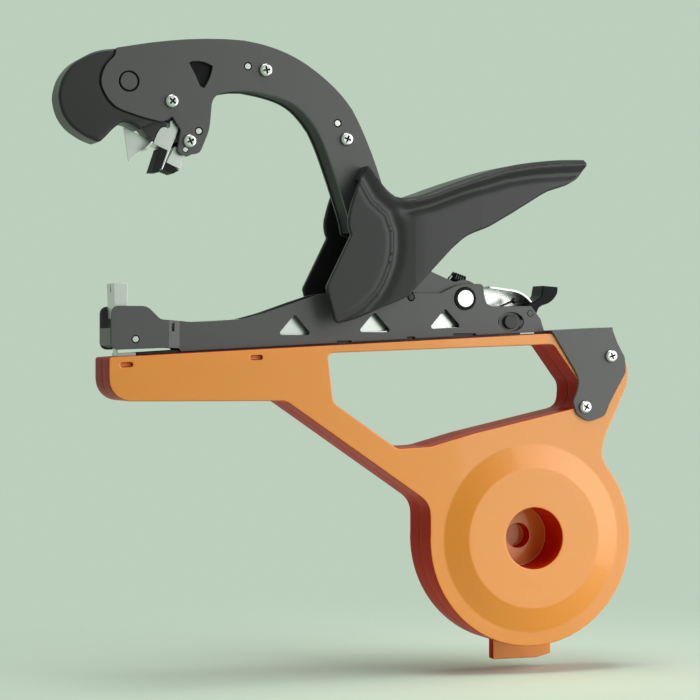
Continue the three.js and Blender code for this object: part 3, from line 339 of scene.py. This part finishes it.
def plateFrom(name, outline, near, far, edge, grow=0):  # a flat piece; an outline's rows are x, z, soft
    line = bpy.data.curves.new(name, "CURVE")
    line.dimensions = "2D"
    line.fill_mode = "BOTH"
    line.extrude = (far - near) / 2 - edge
    line.bevel_depth = edge
    line.bevel_resolution = meshing["rimSteps"]
    line.offset = grow - edge
    line.resolution_u = meshing["curveSteps"]
    spline = line.splines.new("BEZIER")
    spline.bezier_points.add(len(outline) - 1)
    spline.use_cyclic_u = True
    for point, (x, z, soft) in zip(spline.bezier_points, outline):
        point.co = (x, z, 0)
        point.handle_left_type = point.handle_right_type = "AUTO" if soft else "VECTOR"
    piece = meshFrom(name, line)
    piece.rotation_euler = (math.radians(90), 0, 0)
    piece.location = (0, (near + far) / 2, 0)
    freeze(piece, name)
    closeUp(piece)
    return piece


def turnBar(node, shape):  # a round bar along Y with an eased disc at each end
    disc, face, step, ease = shape["disc"], shape["face"], shape["step"], shape["ease"]
    half = [(disc - ease, -face), (disc, ease - face), (disc, -step), (shape["bar"], -step)]
    (radius, y), *rest = [*half, *((radius, -y) for radius, y in reversed(half))]
    deselectAll()
    bpy.ops.mesh.primitive_circle_add(vertices=meshing["barSides"], radius=radius, fill_type="NGON",
                                      location=(0, 0, 0))
    bar = bpy.context.object
    bpy.ops.object.mode_set(mode="EDIT")
    bpy.ops.mesh.select_all(action="SELECT")
    for nextRadius, nextY in rest:
        bpy.ops.mesh.extrude_region_move(TRANSFORM_OT_translate={"value": (0, 0, nextY - y)})
        if nextRadius != radius:
            bpy.ops.transform.resize(value=(nextRadius / radius, nextRadius / radius, 1))
        radius, y = nextRadius, nextY
    bpy.ops.mesh.select_all(action="SELECT")
    bpy.ops.mesh.normals_make_consistent(inside=False)
    bpy.ops.object.mode_set(mode="OBJECT")
    centre = middleOf(node)
    bar.rotation_euler = (math.radians(-90), 0, 0)
    bar.location = (centre.x, -face, centre.z)
    freeze(bar, node + "_dressed")
    smoothFaces(bar, sharpOver["turned"])
    return bar


def wireAlong(name, points, radius, soft=True):  # a bent round wire with closed ends
    line = bpy.data.curves.new(name, "CURVE")
    line.dimensions = "3D"
    line.bevel_depth = radius
    line.bevel_resolution = meshing["wireSteps"]
    line.use_fill_caps = True
    line.resolution_u = meshing["curveSteps"]
    if soft:
        spline = line.splines.new("BEZIER")
        spline.bezier_points.add(len(points) - 1)
        for point, place in zip(spline.bezier_points, points):
            point.co = place
            point.handle_left_type = point.handle_right_type = "AUTO"
    else:
        spline = line.splines.new("POLY")
        spline.points.add(len(points) - 1)
        for point, place in zip(spline.points, points):
            point.co = (*place, 1)
    piece = meshFrom(name, line)
    closeUp(piece)
    smoothFaces(piece, sharpOver["round"])
    return piece


def coilPoints(shape, start, end, up, side):
    count = shape["turns"] * shape["steps"]
    points = []
    for step in range(count + 1):
        angle = 2 * math.pi * step / shape["steps"]
        place = start.lerp(end, step / count)
        points.append(place + shape["radius"] * (math.cos(angle) * up + math.sin(angle) * side))
    return points


def cutWith(piece, cutter):
    cut = piece.modifiers.new("cut", "BOOLEAN")
    cut.object = cutter
    cut.operation = "DIFFERENCE"
    cut.solver = "EXACT"
    applyAll(piece)
    bpy.data.objects.remove(cutter)


# Hard pieces: copies of the model's nodes, with their curved outlines rounded and their edges broken

edgeWidths = {"casing_near": 0.6 * mm, "casing_far": 0.6 * mm, "arm_plate_near": 0.25 * mm,
              "arm_plate_far": 0.25 * mm, "magazine_plate_near": 0.2 * mm, "magazine_plate_far": 0.2 * mm,
              "frame_bracket": 0.2 * mm, "arm_core": 0.3 * mm, "tape_outlet": 0.08 * mm}
plainEdge = 0.12 * mm
plainWeld = 0.03 * mm
# arm_core is shown in black plastic: painted shade for the shadow inside the grip where it sits
shownAs = {"plate_rivet_near": "black_steel", "plate_rivet_far": "black_steel", "tab_pin": "grey_steel",
           "arm_core": "black_plastic", "knife_holder": "grey_moulding"}
curved = ["casing_near", "casing_far", "arm_plate_near", "arm_plate_far", "arm_core", "frame_bracket",
          "magazine_plate_near", "magazine_plate_far", "yoke_near", "yoke_far", "nose_guide"]
screws = ["bracket_screw_upper", "bracket_screw_lower", "arm_screw_1", "arm_screw_2", "arm_screw_3",
          "arm_screw_4"]
remade = [*screws, "grip", "pusher_spring", "return_spring", "spring_rod", "spring_guard", "release_tab",
          "rear_pin", "head_block", "head_plug", "clincher", "knife_holder", "catcher_claw", "claw_pad"]

# Casing: the opening's upper rear corner lies by the steel cheek, the halves meet, the thumb lip follows
# the pod, and the small knuckles of the hinge keep their plain edges
casingShape = {
    "weld": 0.05 * mm, "room": 0.01 * mm, "hinge": (79.5 * mm, 10.2 * mm, 10.5 * mm),
    "corner": (38.6 * mm, 22.4 * mm), "reach": 3.9 * mm, "shift": 5.6 * mm,
    "seam": 0.15 * mm, "seamReach": 0.03 * mm, "closed": -0.14 * mm,
    "pod": (34.5 * mm, -60.0 * mm), "lip": 54.9 * mm, "below": 64 * mm, "from": 222, "to": 318, "step": 3,
    "lipDepth": 20 * mm, "cutEdge": 0.15 * mm,
}


def shapeCasing(piece, isFar):
    cornerX, cornerZ = casingShape["corner"]
    for vertex in piece.data.vertices:
        if math.hypot(vertex.co.x - cornerX, vertex.co.z - cornerZ) < casingShape["reach"]:
            vertex.co.x += casingShape["shift"]
    if not isFar:
        return
    for vertex in piece.data.vertices:  # no light falls through between the halves
        if abs(vertex.co.y - casingShape["seam"]) < casingShape["seamReach"]:
            vertex.co.y = casingShape["closed"]
    podX, podZ = casingShape["pod"]
    turns = range(casingShape["from"], casingShape["to"] + 1, casingShape["step"])
    ring = []
    for radius, angles in ((casingShape["lip"], turns), (casingShape["below"], reversed(turns))):
        for angle in angles:
            turn = math.radians(angle)
            ring.append((podX + radius * math.cos(turn), podZ + radius * math.sin(turn), False))
    cutWith(piece, plateFrom("lip_cutter", ring, 0, casingShape["lipDepth"], casingShape["cutEdge"]))


def dressNodes(names):
    for node in names:
        isCasing = node in ("casing_near", "casing_far")
        piece = copyOfNode(node, casingShape["weld"] if isCasing else plainWeld)
        if isCasing:
            shapeCasing(piece, node == "casing_far")
        if node in curved:
            roundOutline(piece, casingShape["room"] if isCasing else chordRule["room"])
        breakEdges(piece, edgeWidths.get(node, plainEdge), casingShape["hinge"] if isCasing else None)
        standFor(piece, node, shownAs.get(node))


dressNodes(sorted(set(nodes) - set(remade)))
print("edges broken on", len(nodes) - len(remade), "pieces")

# Screws: a domed head with a cross recess on a plain shank

# the inside colour lines the cross recess: painted shade
crossScrew = {"head": 2.75 * mm, "sides": 48, "rise": 1.5 * mm, "shank": 1.5 * mm, "dome": 1.1 * mm,
              "domeSteps": 6, "domeProfile": 0.55, "facing": 0.9, "arm": 3.9 * mm, "slot": 0.95 * mm,
              "recess": 1.0 * mm, "narrow": 0.6, "turns": (20, 62, 48, 25, 12, 70),
              "outside": "bright_steel", "inside": "black_steel"}


def selectFaces(piece, isChosen):  # leaves the piece in edit mode
    bpy.ops.object.mode_set(mode="EDIT")
    bpy.ops.mesh.select_mode(type="FACE")
    bpy.ops.mesh.select_all(action="DESELECT")
    bpy.ops.object.mode_set(mode="OBJECT")
    for polygon in piece.data.polygons:
        polygon.select = isChosen(polygon.normal)
    bpy.ops.object.mode_set(mode="EDIT")


def cutRecess(screw, turn):  # one slot of the cross
    rise = crossScrew["rise"]
    bpy.ops.mesh.primitive_cube_add(size=1, location=(0, 0, rise))
    blade = bpy.context.object
    blade.scale = (crossScrew["arm"], crossScrew["slot"], 2 * crossScrew["recess"])
    blade.rotation_euler = (0, 0, math.radians(turn))
    freeze(blade, "blade")
    paint(blade, crossScrew["outside"], crossScrew["inside"])
    for polygon in blade.data.polygons:
        # painted shade: every face of the cutter, and so each recess wall it leaves, takes the inside colour
        polygon.material_index = 1
    for vertex in blade.data.vertices:  # it narrows as it goes in
        if vertex.co.z < rise:
            vertex.co.x *= crossScrew["narrow"]
            vertex.co.y *= crossScrew["narrow"]
    cutWith(screw, blade)


def makeScrew(name, length, turn):  # stands on its shank, along Z
    rise = crossScrew["rise"]
    bpy.ops.mesh.primitive_cylinder_add(vertices=crossScrew["sides"], radius=crossScrew["head"], depth=rise)
    screw = bpy.context.object
    screw.location = (0, 0, rise / 2)
    freeze(screw, name)
    paint(screw, crossScrew["outside"], crossScrew["inside"])
    selectFaces(screw, lambda normal: normal.z > crossScrew["facing"])
    bpy.ops.mesh.bevel(offset=crossScrew["dome"], segments=crossScrew["domeSteps"],
                       profile=crossScrew["domeProfile"])
    selectFaces(screw, lambda normal: normal.z < -crossScrew["facing"])
    bpy.ops.mesh.inset(thickness=crossScrew["head"] - crossScrew["shank"])
    bpy.ops.mesh.extrude_region_move(TRANSFORM_OT_translate={"value": (0, 0, -length)})
    bpy.ops.object.mode_set(mode="OBJECT")
    for quarter in (0, 90):
        cutRecess(screw, quarter + turn)
    return screw


def addScrews():
    for node, turn in zip(screws, crossScrew["turns"]):
        name = node + "_dressed"
        low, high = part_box(node)
        middle = middleOf(node)
        face = low.y + crossScrew["rise"]
        screw = makeScrew(name, high.y - face, turn)
        screw.rotation_euler = (math.radians(90), 0, 0)
        screw.location = (middle.x, face, middle.z)
        freeze(screw, name)
        smoothFaces(screw, sharpOver["plate"])
        standFor(screw, node, painted=True)


addScrews()
print("screws:", len(screws))

# Pusher spring: round wire, wound as a coil with a mesh of its own

pusherCoil = {"radius": 1.9 * mm, "wire": 0.35 * mm, "turns": 14, "steps": 24}


def addPusherSpring():
    low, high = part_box("pusher_spring")
    along = Vector(jointOf["pusher_slide"]["axis"]).normalized()
    reach = pusherCoil["radius"] + pusherCoil["wire"]
    start = Vector((low.x + pusherCoil["wire"], 0, low.z + reach))
    end = Vector((high.x - pusherCoil["wire"], 0, high.z - reach))
    bow = Vector((0, 1, 0))
    points = coilPoints(pusherCoil, start, end, bow, along.cross(bow))
    coil = wireAlong("pusher_spring_dressed", points, pusherCoil["wire"], soft=False)
    standFor(coil, "pusher_spring")
    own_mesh(coil)


addPusherSpring()
print("pusher spring wound")

# Return spring: tight turns on a short rod, whose front end is hooked on the inside of the near yoke

returnCoil = {
    "drop": 0.8 * mm, "slope": 19, "radius": 1.95 * mm, "wire": 0.52 * mm, "turns": 5, "steps": 24,
    "length": 5.3 * mm, "rod": 0.8 * mm, "hook": -4.7 * mm, "hookShare": 0.4,
    # the rod's way in millimetres, along the coil and above it
    "path": ((-6.0, -5.2), (-4.6, -2.6), (-2.8, 0.1), (2.8, 0.0), (4.8, -0.6), (6.4, -2.3)),
}


def addReturnSpring():
    centre = middleOf("return_spring") - Vector((0, 0, returnCoil["drop"]))
    turn = math.radians(returnCoil["slope"])
    along = Vector((math.cos(turn), 0, -math.sin(turn)))
    up = Vector((math.sin(turn), 0, math.cos(turn)))
    half = along * returnCoil["length"] / 2
    points = coilPoints(returnCoil, centre - half, centre + half, up, Vector((0, 1, 0)))
    coil = wireAlong("return_spring_dressed", points, returnCoil["wire"], soft=False)
    standFor(coil, "return_spring")
    path = [centre + along * x * mm + up * z * mm for x, z in returnCoil["path"]]
    path[0].y = returnCoil["hook"]
    path[1].y = returnCoil["hook"] * returnCoil["hookShare"]
    standFor(wireAlong("spring_rod_dressed", path, returnCoil["rod"]), "spring_rod")


addReturnSpring()
print("return spring wound")

# Rear pin, with the guard over it, and the finger tab behind

rearPinShape = {"bar": 2.4 * mm, "disc": 3.0 * mm, "face": 7.65 * mm, "step": 6.15 * mm, "ease": 0.3 * mm}
guardShape = {  # leftEnd and foot lie this far from the rear pin
    "radius": 14 * mm, "steel": 0.9 * mm, "half": 4.75 * mm, "sheet": 0.8 * mm, "edge": 0.1 * mm,
    "from": 33, "to": 83, "step": 5, "leftEnd": (-8.8 * mm, 15.2 * mm), "lean": 0.3 * mm, "foot": (-4.2 * mm, 0),
}
tabShape = {
    "corner": (-2.6 * mm, -2.4 * mm), "size": (17.6 * mm, 14.4 * mm), "half": 5.8 * mm, "edge": 0.45 * mm,
    "outline": (
        (0.034, 0.264, 0), (0.085, 0.389, 1), (0.313, 0.549, 1), (0.483, 0.700, 1), (0.500, 0.800, 1),
        (0.534, 1.000, 0), (0.926, 0.965, 0), (0.915, 0.800, 1), (0.870, 0.690, 1), (0.727, 0.514, 1),
        (0.432, 0.347, 1), (0.369, 0.194, 1), (0.300, 0.030, 1), (0.150, 0.000, 1), (0.045, 0.060, 1),
    ),
}


def addGuard():
    centre = middleOf("rear_pin")
    angles = [math.radians(angle)
              for angle in range(guardShape["from"], guardShape["to"] + 1, guardShape["step"])]

    def spot(x, z, soft=False):
        return centre.x + x, centre.z + z, soft

    def arc(radius):
        return [spot(radius * math.cos(angle), radius * math.sin(angle), True) for angle in angles]

    radius, steel, edge = guardShape["radius"], guardShape["steel"], guardShape["edge"]
    half, sheet = guardShape["half"], guardShape["sheet"]
    endX, endZ = guardShape["leftEnd"]
    outer = [*arc(radius), spot(endX, endZ)]
    inner = [*arc(radius - steel), spot(endX + guardShape["lean"], endZ - steel)]
    band = plateFrom("spring_guard_dressed", [*outer, *reversed(inner)], -half, half, edge)
    side = plateFrom("guard_side", [*outer, spot(*guardShape["foot"])], half - sheet, half, edge)
    smoothFaces(band, sharpOver["plate"])
    smoothFaces(side, sharpOver["plate"])
    standFor(band, "spring_guard")
    settle(side, bodyOf["spring_guard"], slotOf["spring_guard"])


def addTab():
    pivot = middleOf("tab_pin")
    corner = (pivot.x + tabShape["corner"][0], pivot.z + tabShape["corner"][1])
    outline = inBox(corner, tabShape["size"], tabShape["outline"])
    tab = plateFrom("release_tab_dressed", outline, -tabShape["half"], tabShape["half"], tabShape["edge"])
    smoothFaces(tab, sharpOver["plate"])
    standFor(tab, "release_tab")


standFor(turnBar("rear_pin", rearPinShape), "rear_pin")
addGuard()
addTab()
print("rear pin, guard and tab made")

# Base strip: two low walls along it, under the magazine

# the walls' black is partly the strip's dark edge and partly painted shade for the gap under the magazine
wallShape = {"deckFront": (-149.4 * mm, 17.15 * mm), "tilt": 2.96, "front": 13.5 * mm, "bottom": -2.0 * mm,
             "rises": (1.2 * mm, 3.2 * mm), "inside": 5.2 * mm, "outside": 5.88 * mm, "edge": 0.1 * mm,
             "slot": "black_steel"}


def deckPoint(along, above):
    turn = math.radians(wallShape["tilt"])
    x, z = wallShape["deckFront"]
    return (x + along * math.cos(turn) - above * math.sin(turn),
            z + along * math.sin(turn) + above * math.cos(turn), False)


def addStripWalls():
    front, bottom = wallShape["front"], wallShape["bottom"]
    frontRise, backRise = wallShape["rises"]
    inside, outside = wallShape["inside"], wallShape["outside"]
    back = (middleOf("rear_pin").x - wallShape["deckFront"][0]) / math.cos(math.radians(wallShape["tilt"]))
    outline = [deckPoint(front, bottom), deckPoint(back, bottom),
               deckPoint(back, backRise), deckPoint(front, frontRise)]
    for name, near, far in (("strip_wall_near", -outside, -inside), ("strip_wall_far", inside, outside)):
        wall = plateFrom(name, outline, near, far, wallShape["edge"])
        smoothFaces(wall, sharpOver["plate"])
        # black steel here is partly painted shade for the gap under the magazine
        settle(wall, bodyOf["frame_bracket"], wallShape["slot"])


addStripWalls()
print("strip walls folded up")

# Head: a block as thick as the arm, with a groove round the plates' nose, and its plug

headShape = {  # its box is placed from the arm plate's upper left corner
    "corner": (-16.9 * mm, -43.7 * mm), "size": (42 * mm, 38.2 * mm), "half": 7.5 * mm, "edge": 1.3 * mm,
    "groove": 1.1 * mm, "core": 5.95 * mm, "cutEdge": 0.02 * mm,
    "outline": (
        (0.526, 0.992, 0), (0.390, 0.968, 1), (0.276, 0.919, 1), (0.095, 0.772, 1), (0.002, 0.565, 1),
        (0.000, 0.393, 1), (0.083, 0.196, 1), (0.212, 0.079, 1), (0.330, 0.018, 1), (0.388, 0.005, 1),
        (0.430, 0.040, 1), (0.550, 0.170, 1), (0.626, 0.215, 1), (0.790, 0.147, 0), (0.976, 0.236, 0),
        (0.976, 0.851, 0), (0.762, 1.013, 0),
    ),
}
armNose = {
    "size": (132 * mm, 90.2 * mm),
    "outline": (
        (0.198, 0.615, 0), (0.149, 0.629, 1), (0.089, 0.654, 1), (0.042, 0.683, 1), (0.010, 0.744, 1),
        (0.001, 0.800, 1), (0.017, 0.864, 1), (0.045, 0.906, 0), (0.049, 0.942, 0), (0.185, 0.978, 0),
        (0.300, 1.100, 0), (0.400, 0.600, 0),
    ),
}
# the inside colour fills the sunken ring round the plug's face: painted shade
plugShape = {"bar": 4.2 * mm, "disc": 3.55 * mm, "face": 7.6 * mm, "step": 6.7 * mm, "ease": 0.2 * mm,
             "faceDepth": 0.3 * mm, "outside": "grey_steel", "inside": "black_plastic"}


def addHead():
    low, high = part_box("arm_plate_near")
    half, core = headShape["half"], headShape["core"]
    corner = (low.x + headShape["corner"][0], high.z + headShape["corner"][1])
    outline = inBox(corner, headShape["size"], headShape["outline"])
    head = plateFrom("head_block_dressed", outline, -half, half, headShape["edge"])
    nose = inBox((low.x, high.z - armNose["size"][1]), armNose["size"], armNose["outline"])
    for near, far in ((-2 * half, -core), (core, 2 * half)):
        cutWith(head, plateFrom("nose_cutter", nose, near, far, headShape["cutEdge"], headShape["groove"]))
    smoothFaces(head, sharpOver["plate"])
    standFor(head, "head_block")


def addPlug():
    bar = turnBar("head_plug", plugShape)
    paint(bar, plugShape["outside"], plugShape["inside"])
    # painted shade: faces sunk below the plug's face take the inside colour
    for polygon in bar.data.polygons:
        polygon.material_index = int(abs(polygon.center.y) < plugShape["face"] - plugShape["faceDepth"])
    standFor(bar, "head_plug", painted=True)


addHead()
addPlug()
print("head made")

# Tools under the head: their box is placed from the arm plate's upper left corner

toolShape = {"corner": (17 * mm, -55 * mm), "size": (20 * mm, 22.2 * mm), "half": 5 * mm, "edge": 0.2 * mm}
toolOutlines = {
    "clincher": ((0.222, 0.562, 0), (0.260, 0.548, 0), (0.120, 0.400, 0), (0.070, 0.415, 0)),
    "knife_holder": (
        (0.090, 0.960, 0), (0.505, 0.960, 0), (0.560, 0.842, 0), (0.410, 0.842, 0), (0.345, 0.770, 1),
        (0.235, 0.572, 0), (0.015, 0.790, 0),
    ),
    "catcher_claw": (
        (0.620, 0.945, 1), (0.665, 0.965, 1), (0.720, 0.930, 1), (0.800, 0.870, 1), (0.775, 0.757, 1),
        (0.600, 0.378, 0), (0.455, 0.050, 0), (0.420, 0.050, 0), (0.555, 0.400, 0), (0.405, 0.455, 0),
        (0.260, 0.527, 0), (0.375, 0.757, 1), (0.450, 0.825, 1), (0.585, 0.820, 1),
    ),
    "claw_pad": ((0.535, 0.384, 0), (0.395, 0.435, 0), (0.235, 0.000, 0), (0.385, 0.000, 0)),
}


def addTools():
    low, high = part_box("arm_plate_near")
    half = toolShape["half"]
    corner = (low.x + toolShape["corner"][0], high.z + toolShape["corner"][1])
    for node, rows in toolOutlines.items():
        outline = inBox(corner, toolShape["size"], rows)
        tool = plateFrom(node + "_dressed", outline, -half, half, toolShape["edge"])
        smoothFaces(tool, sharpOver["plate"])
        standFor(tool, node, shownAs.get(node))


addTools()
print("tools made:", ", ".join(toolOutlines))

# Grip: a moulded saddle with a crease down its cheek, a bead along its top and a tail over the hand

gripShape = {
    "left": -59.1 * mm, "length": 116.6 * mm, "half": 17 * mm, "skin": 1.0 * mm, "grid": 0.62 * mm,
    "outlineReach": 3.0 * mm, "edge": 0.8 * mm, "edgeShare": 0.28,
    "slotEnd": (-26.45 * mm, 83.6 * mm, 3.5 * mm),  # not rounded at the slot's end, where it would fold
    "plan": ((0, 1), (0.34, 1), (0.6, 0.88), (0.85, 0.72), (1, 0.58)),
    # what follows is in millimetres: lines of x and z, and heights or depths with their places and widths
    "crease": ((-44.9, 90.5), (-39.5, 81.5), (-33.0, 76.0), (-30.4, 69.0), (-30.3, 62.0), (-31.4, 55.5),
               (-34.0, 49.0), (-37.0, 44.0), (-43.3, 37.5), (-48.0, 34.5), (-54.5, 31.8)),
    "lip": (0.28, 1.0), "step": (0.95, 1.3), "groove": (0.85, 3.1, 2.3), "grooveFade": 2,
    "back": (0.5, 5, 12),
    "top": ((-31.0, 83.6), (-23.0, 83.5), (-14.0, 85.7), (-4.6, 89.1), (8.1, 93.5), (20.9, 97.6),
            (33.7, 100.1), (46.7, 101.6), (60.0, 102.0)),
    "topFade": 12, "crown": (1.5, 1.9), "bead": (0.8, 2.1, 1.3), "hollow": (1.7, 5.4, 2.2),
    "under": ((-5.0, 57.0), (0.0, 60.0), (7.9, 65.9), (20.9, 73.2), (34.4, 81.5), (40.2, 84.9),
              (51.9, 88.8), (57.5, 95.1)),
    "tail": {"from": 2.0, "reach": 55.5, "longer": 4.4, "power": 1.5, "fuller": 2.3, "fadeIn": 0.25,
             "fadeOut": 0.18},
}


def nearestOn(line, x, z):  # distance to a line of points, with its side: positive lies to the right
    best = None
    for (x0, z0), (x1, z1) in zip(line, line[1:]):
        dx, dz = x1 - x0, z1 - z0
        share = max(0, min(1, ((x - x0) * dx + (z - z0) * dz) / (dx * dx + dz * dz)))
        gapX, gapZ = x - x0 - share * dx, z - z0 - share * dz
        distance = math.hypot(gapX, gapZ)
        if best is None or distance < abs(best):
            best = math.copysign(distance, gapX * -dz + gapZ * dx)
    return best


def valueOn(line, x):  # the height of a line of points at x
    for (x0, z0), (x1, z1) in zip(line, line[1:]):
        if x <= x1:
            return z0 + (z1 - z0) * max(0, (x - x0) / (x1 - x0))
    return line[-1][1]


def easeOut(share):
    share = max(0, min(1, share))
    return share * share * (3 - 2 * share)


def hump(value, middle, width):
    return math.exp(-((value - middle) / width) ** 2)


def sculptCrease(x, z):  # how far the cheek sinks behind its crease
    past = nearestOn(gripShape["crease"], x, z)
    lip, lipWidth = gripShape["lip"]
    step, stepWidth = gripShape["step"]
    groove, grooveAt, grooveWidth = gripShape["groove"]
    back, backFrom, backWidth = gripShape["back"]
    sunk = -lip * hump(past, -lipWidth, lipWidth)
    if past > 0:
        sunk += step * easeOut(past / stepWidth)
        sunk += groove * hump(past, grooveAt, grooveWidth) * easeOut(past / gripShape["grooveFade"])
        sunk -= back * easeOut((past - backFrom) / backWidth)
    return sunk


def sculptTop(x, z):  # the rounded crown of the top edge, with the bead and the hollow below it
    startX = gripShape["top"][0][0]
    if x <= startX:
        return 0
    depth = abs(nearestOn(gripShape["top"], x, z))
    crown, crownDepth = gripShape["crown"]
    bead, beadAt, beadWidth = gripShape["bead"]
    hollow, hollowAt, hollowWidth = gripShape["hollow"]
    sunk = crown * (1 - easeOut(depth / crownDepth)) - bead * hump(depth, beadAt, beadWidth)
    sunk += hollow * hump(depth, hollowAt, hollowWidth)
    return easeOut((x - startX) / gripShape["topFade"]) * sunk


def stretchTail(x, z):  # the tail reaches further back, and its underside hangs lower
    tail = gripShape["tail"]
    share = (x - tail["from"]) / tail["reach"]
    if share <= 0:
        return x, z
    top, under = valueOn(gripShape["top"], x), valueOn(gripShape["under"], x)
    low = 1 - max(0, min(1, (z - under) / (top - under)))
    swell = easeOut(share / tail["fadeIn"]) * easeOut((1 - share) / tail["fadeOut"])
    return x + tail["longer"] * share ** tail["power"], z - tail["fuller"] * swell * low


def sliceGrid(piece, low, high, pitch):  # cuts across X and across Z give the sculpting its points
    pickUp(piece)
    bpy.ops.object.mode_set(mode="EDIT")
    for axis, normal in ((0, (1, 0, 0)), (2, (0, 0, 1))):
        count = round((high[axis] - low[axis]) / pitch)
        for step in range(1, count):
            plane = [0, 0, 0]
            plane[axis] = low[axis] + (high[axis] - low[axis]) * step / count
            bpy.ops.mesh.select_all(action="SELECT")
            bpy.ops.mesh.bisect(plane_co=plane, plane_no=normal, use_fill=False)
    bpy.ops.object.mode_set(mode="OBJECT")


def addGrip():
    grip = copyOfNode("grip", plainWeld)
    roundOutline(grip, reach=gripShape["outlineReach"], keepOff=gripShape["slotEnd"])
    bevelMarked(grip, gripShape["edge"], isRidge, gripShape["edgeShare"])
    sliceGrid(grip, *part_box("grip"), gripShape["grid"])
    for vertex in grip.data.vertices:
        place = vertex.co
        x, z = place.x / mm, place.z / mm
        share = (place.x - gripShape["left"]) / gripShape["length"]
        widest = valueOn(gripShape["plan"], share) * gripShape["half"]
        if abs(place.y) > widest - gripShape["skin"]:
            place.y -= math.copysign((sculptCrease(x, z) + sculptTop(x, z)) * mm, place.y)
        x, z = stretchTail(x, z)
        place.x, place.z = x * mm, z * mm
    smoothFaces(grip, sharpOver["round"])
    standFor(grip, "grip")


addGrip()
print("grip sculpted")

# Stage, light and camera

stage = {"floorGap": 4 * mm, "reach": 3, "fadeFrom": 0.06, "fadeTo": 0.34, "colour": (0.80, 0.98, 0.80),
         "roughness": 0.95, "gloss": 0.1, "backdrop": (0.505, 0.620, 0.505), "ambient": 0.14}
shot = {"aim": (-0.043, 0, 0.02), "azimuth": -19, "distance": 1.0, "lens": 122.4, "sensor": 36, "clip": 30}
lamps = {
    "softbox": {"place": (0.99, -0.84, 0.30), "size": 1.5, "power": 21},
    "top": {"place": (-0.10, -0.10, 1.20), "size": 0.6, "power": 7},
}


def addStage():  # a pale floor that fades into the backdrop
    floorLevel = cadBox[0][2] - stage["floorGap"]
    bpy.ops.mesh.primitive_plane_add(size=2 * stage["reach"], location=(0, 0, floorLevel))
    floor = bpy.context.object
    floor.name = "floor"
    material, tree, pale = newMaterial("pale_floor")
    fillIn(pale, {"Base Color": (*stage["colour"], 1), "Roughness": stage["roughness"],
                  "Specular IOR Level": stage["gloss"]})
    place = tree.nodes.new("ShaderNodeTexCoord")
    far = tree.nodes.new("ShaderNodeVectorMath")
    far.operation = "LENGTH"
    fade = tree.nodes.new("ShaderNodeMapRange")
    fade.interpolation_type = "SMOOTHSTEP"
    fillIn(fade, {"From Min": stage["fadeFrom"], "From Max": stage["fadeTo"]})
    clear = tree.nodes.new("ShaderNodeBsdfTransparent")
    blend = tree.nodes.new("ShaderNodeMixShader")
    linkUp(tree,
           (place.outputs["Object"], far.inputs[0]),
           (far.outputs["Value"], fade.inputs["Value"]),
           (fade.outputs["Result"], blend.inputs["Fac"]),
           (pale.outputs["BSDF"], blend.inputs[1]),
           (clear.outputs["BSDF"], blend.inputs[2]),
           (blend.outputs["Shader"], tree.nodes["Material Output"].inputs["Surface"]))
    floor.data.materials.append(material)


def addWorld():  # even white light, with a green backdrop for the camera, reflections and clear pieces
    world = bpy.data.worlds.new("studio")
    world.use_nodes = True
    tree = world.node_tree
    light = tree.nodes["Background"]
    fillIn(light, {"Color": (1, 1, 1, 1), "Strength": stage["ambient"]})
    seen = tree.nodes.new("ShaderNodeBackground")
    fillIn(seen, {"Color": (*stage["backdrop"], 1)})
    path = tree.nodes.new("ShaderNodeLightPath")
    blend = tree.nodes.new("ShaderNodeMixShader")
    direct = tree.nodes.new("ShaderNodeMath")
    shown = tree.nodes.new("ShaderNodeMath")
    direct.operation = shown.operation = "MAXIMUM"
    linkUp(tree,
           (path.outputs["Is Camera Ray"], direct.inputs[0]),
           (path.outputs["Is Glossy Ray"], direct.inputs[1]),
           (direct.outputs["Value"], shown.inputs[0]),
           (path.outputs["Is Transmission Ray"], shown.inputs[1]),
           (shown.outputs["Value"], blend.inputs["Fac"]),
           (light.outputs["Background"], blend.inputs[1]),
           (seen.outputs["Background"], blend.inputs[2]),
           (blend.outputs["Shader"], tree.nodes["World Output"].inputs["Surface"]))
    bpy.context.scene.world = world
    bpy.context.scene.view_settings.view_transform = "Standard"


def addLamps():
    for name, lamp in lamps.items():
        light = bpy.data.lights.new(name, "AREA")
        light.size = lamp["size"]
        light.energy = lamp["power"]
        holder = addObject(name, light)
        holder.location = lamp["place"]
        aim = Vector(shot["aim"]) - Vector(lamp["place"])
        holder.rotation_euler = aim.to_track_quat("-Z", "Y").to_euler()


def addCamera():
    turn = math.radians(shot["azimuth"])
    back = Vector((math.sin(turn), -math.cos(turn), 0))
    camera = addObject("camera", bpy.data.cameras.new("camera"))
    camera.location = Vector(shot["aim"]) + shot["distance"] * back
    camera.rotation_euler = (-back).to_track_quat("-Z", "Y").to_euler()
    camera.data.lens = shot["lens"]
    camera.data.sensor_width = shot["sensor"]
    camera.data.clip_end = shot["clip"]
    bpy.context.scene.camera = camera


addStage()
addWorld()
addLamps()
addCamera()
print("stage, lamps and camera set")
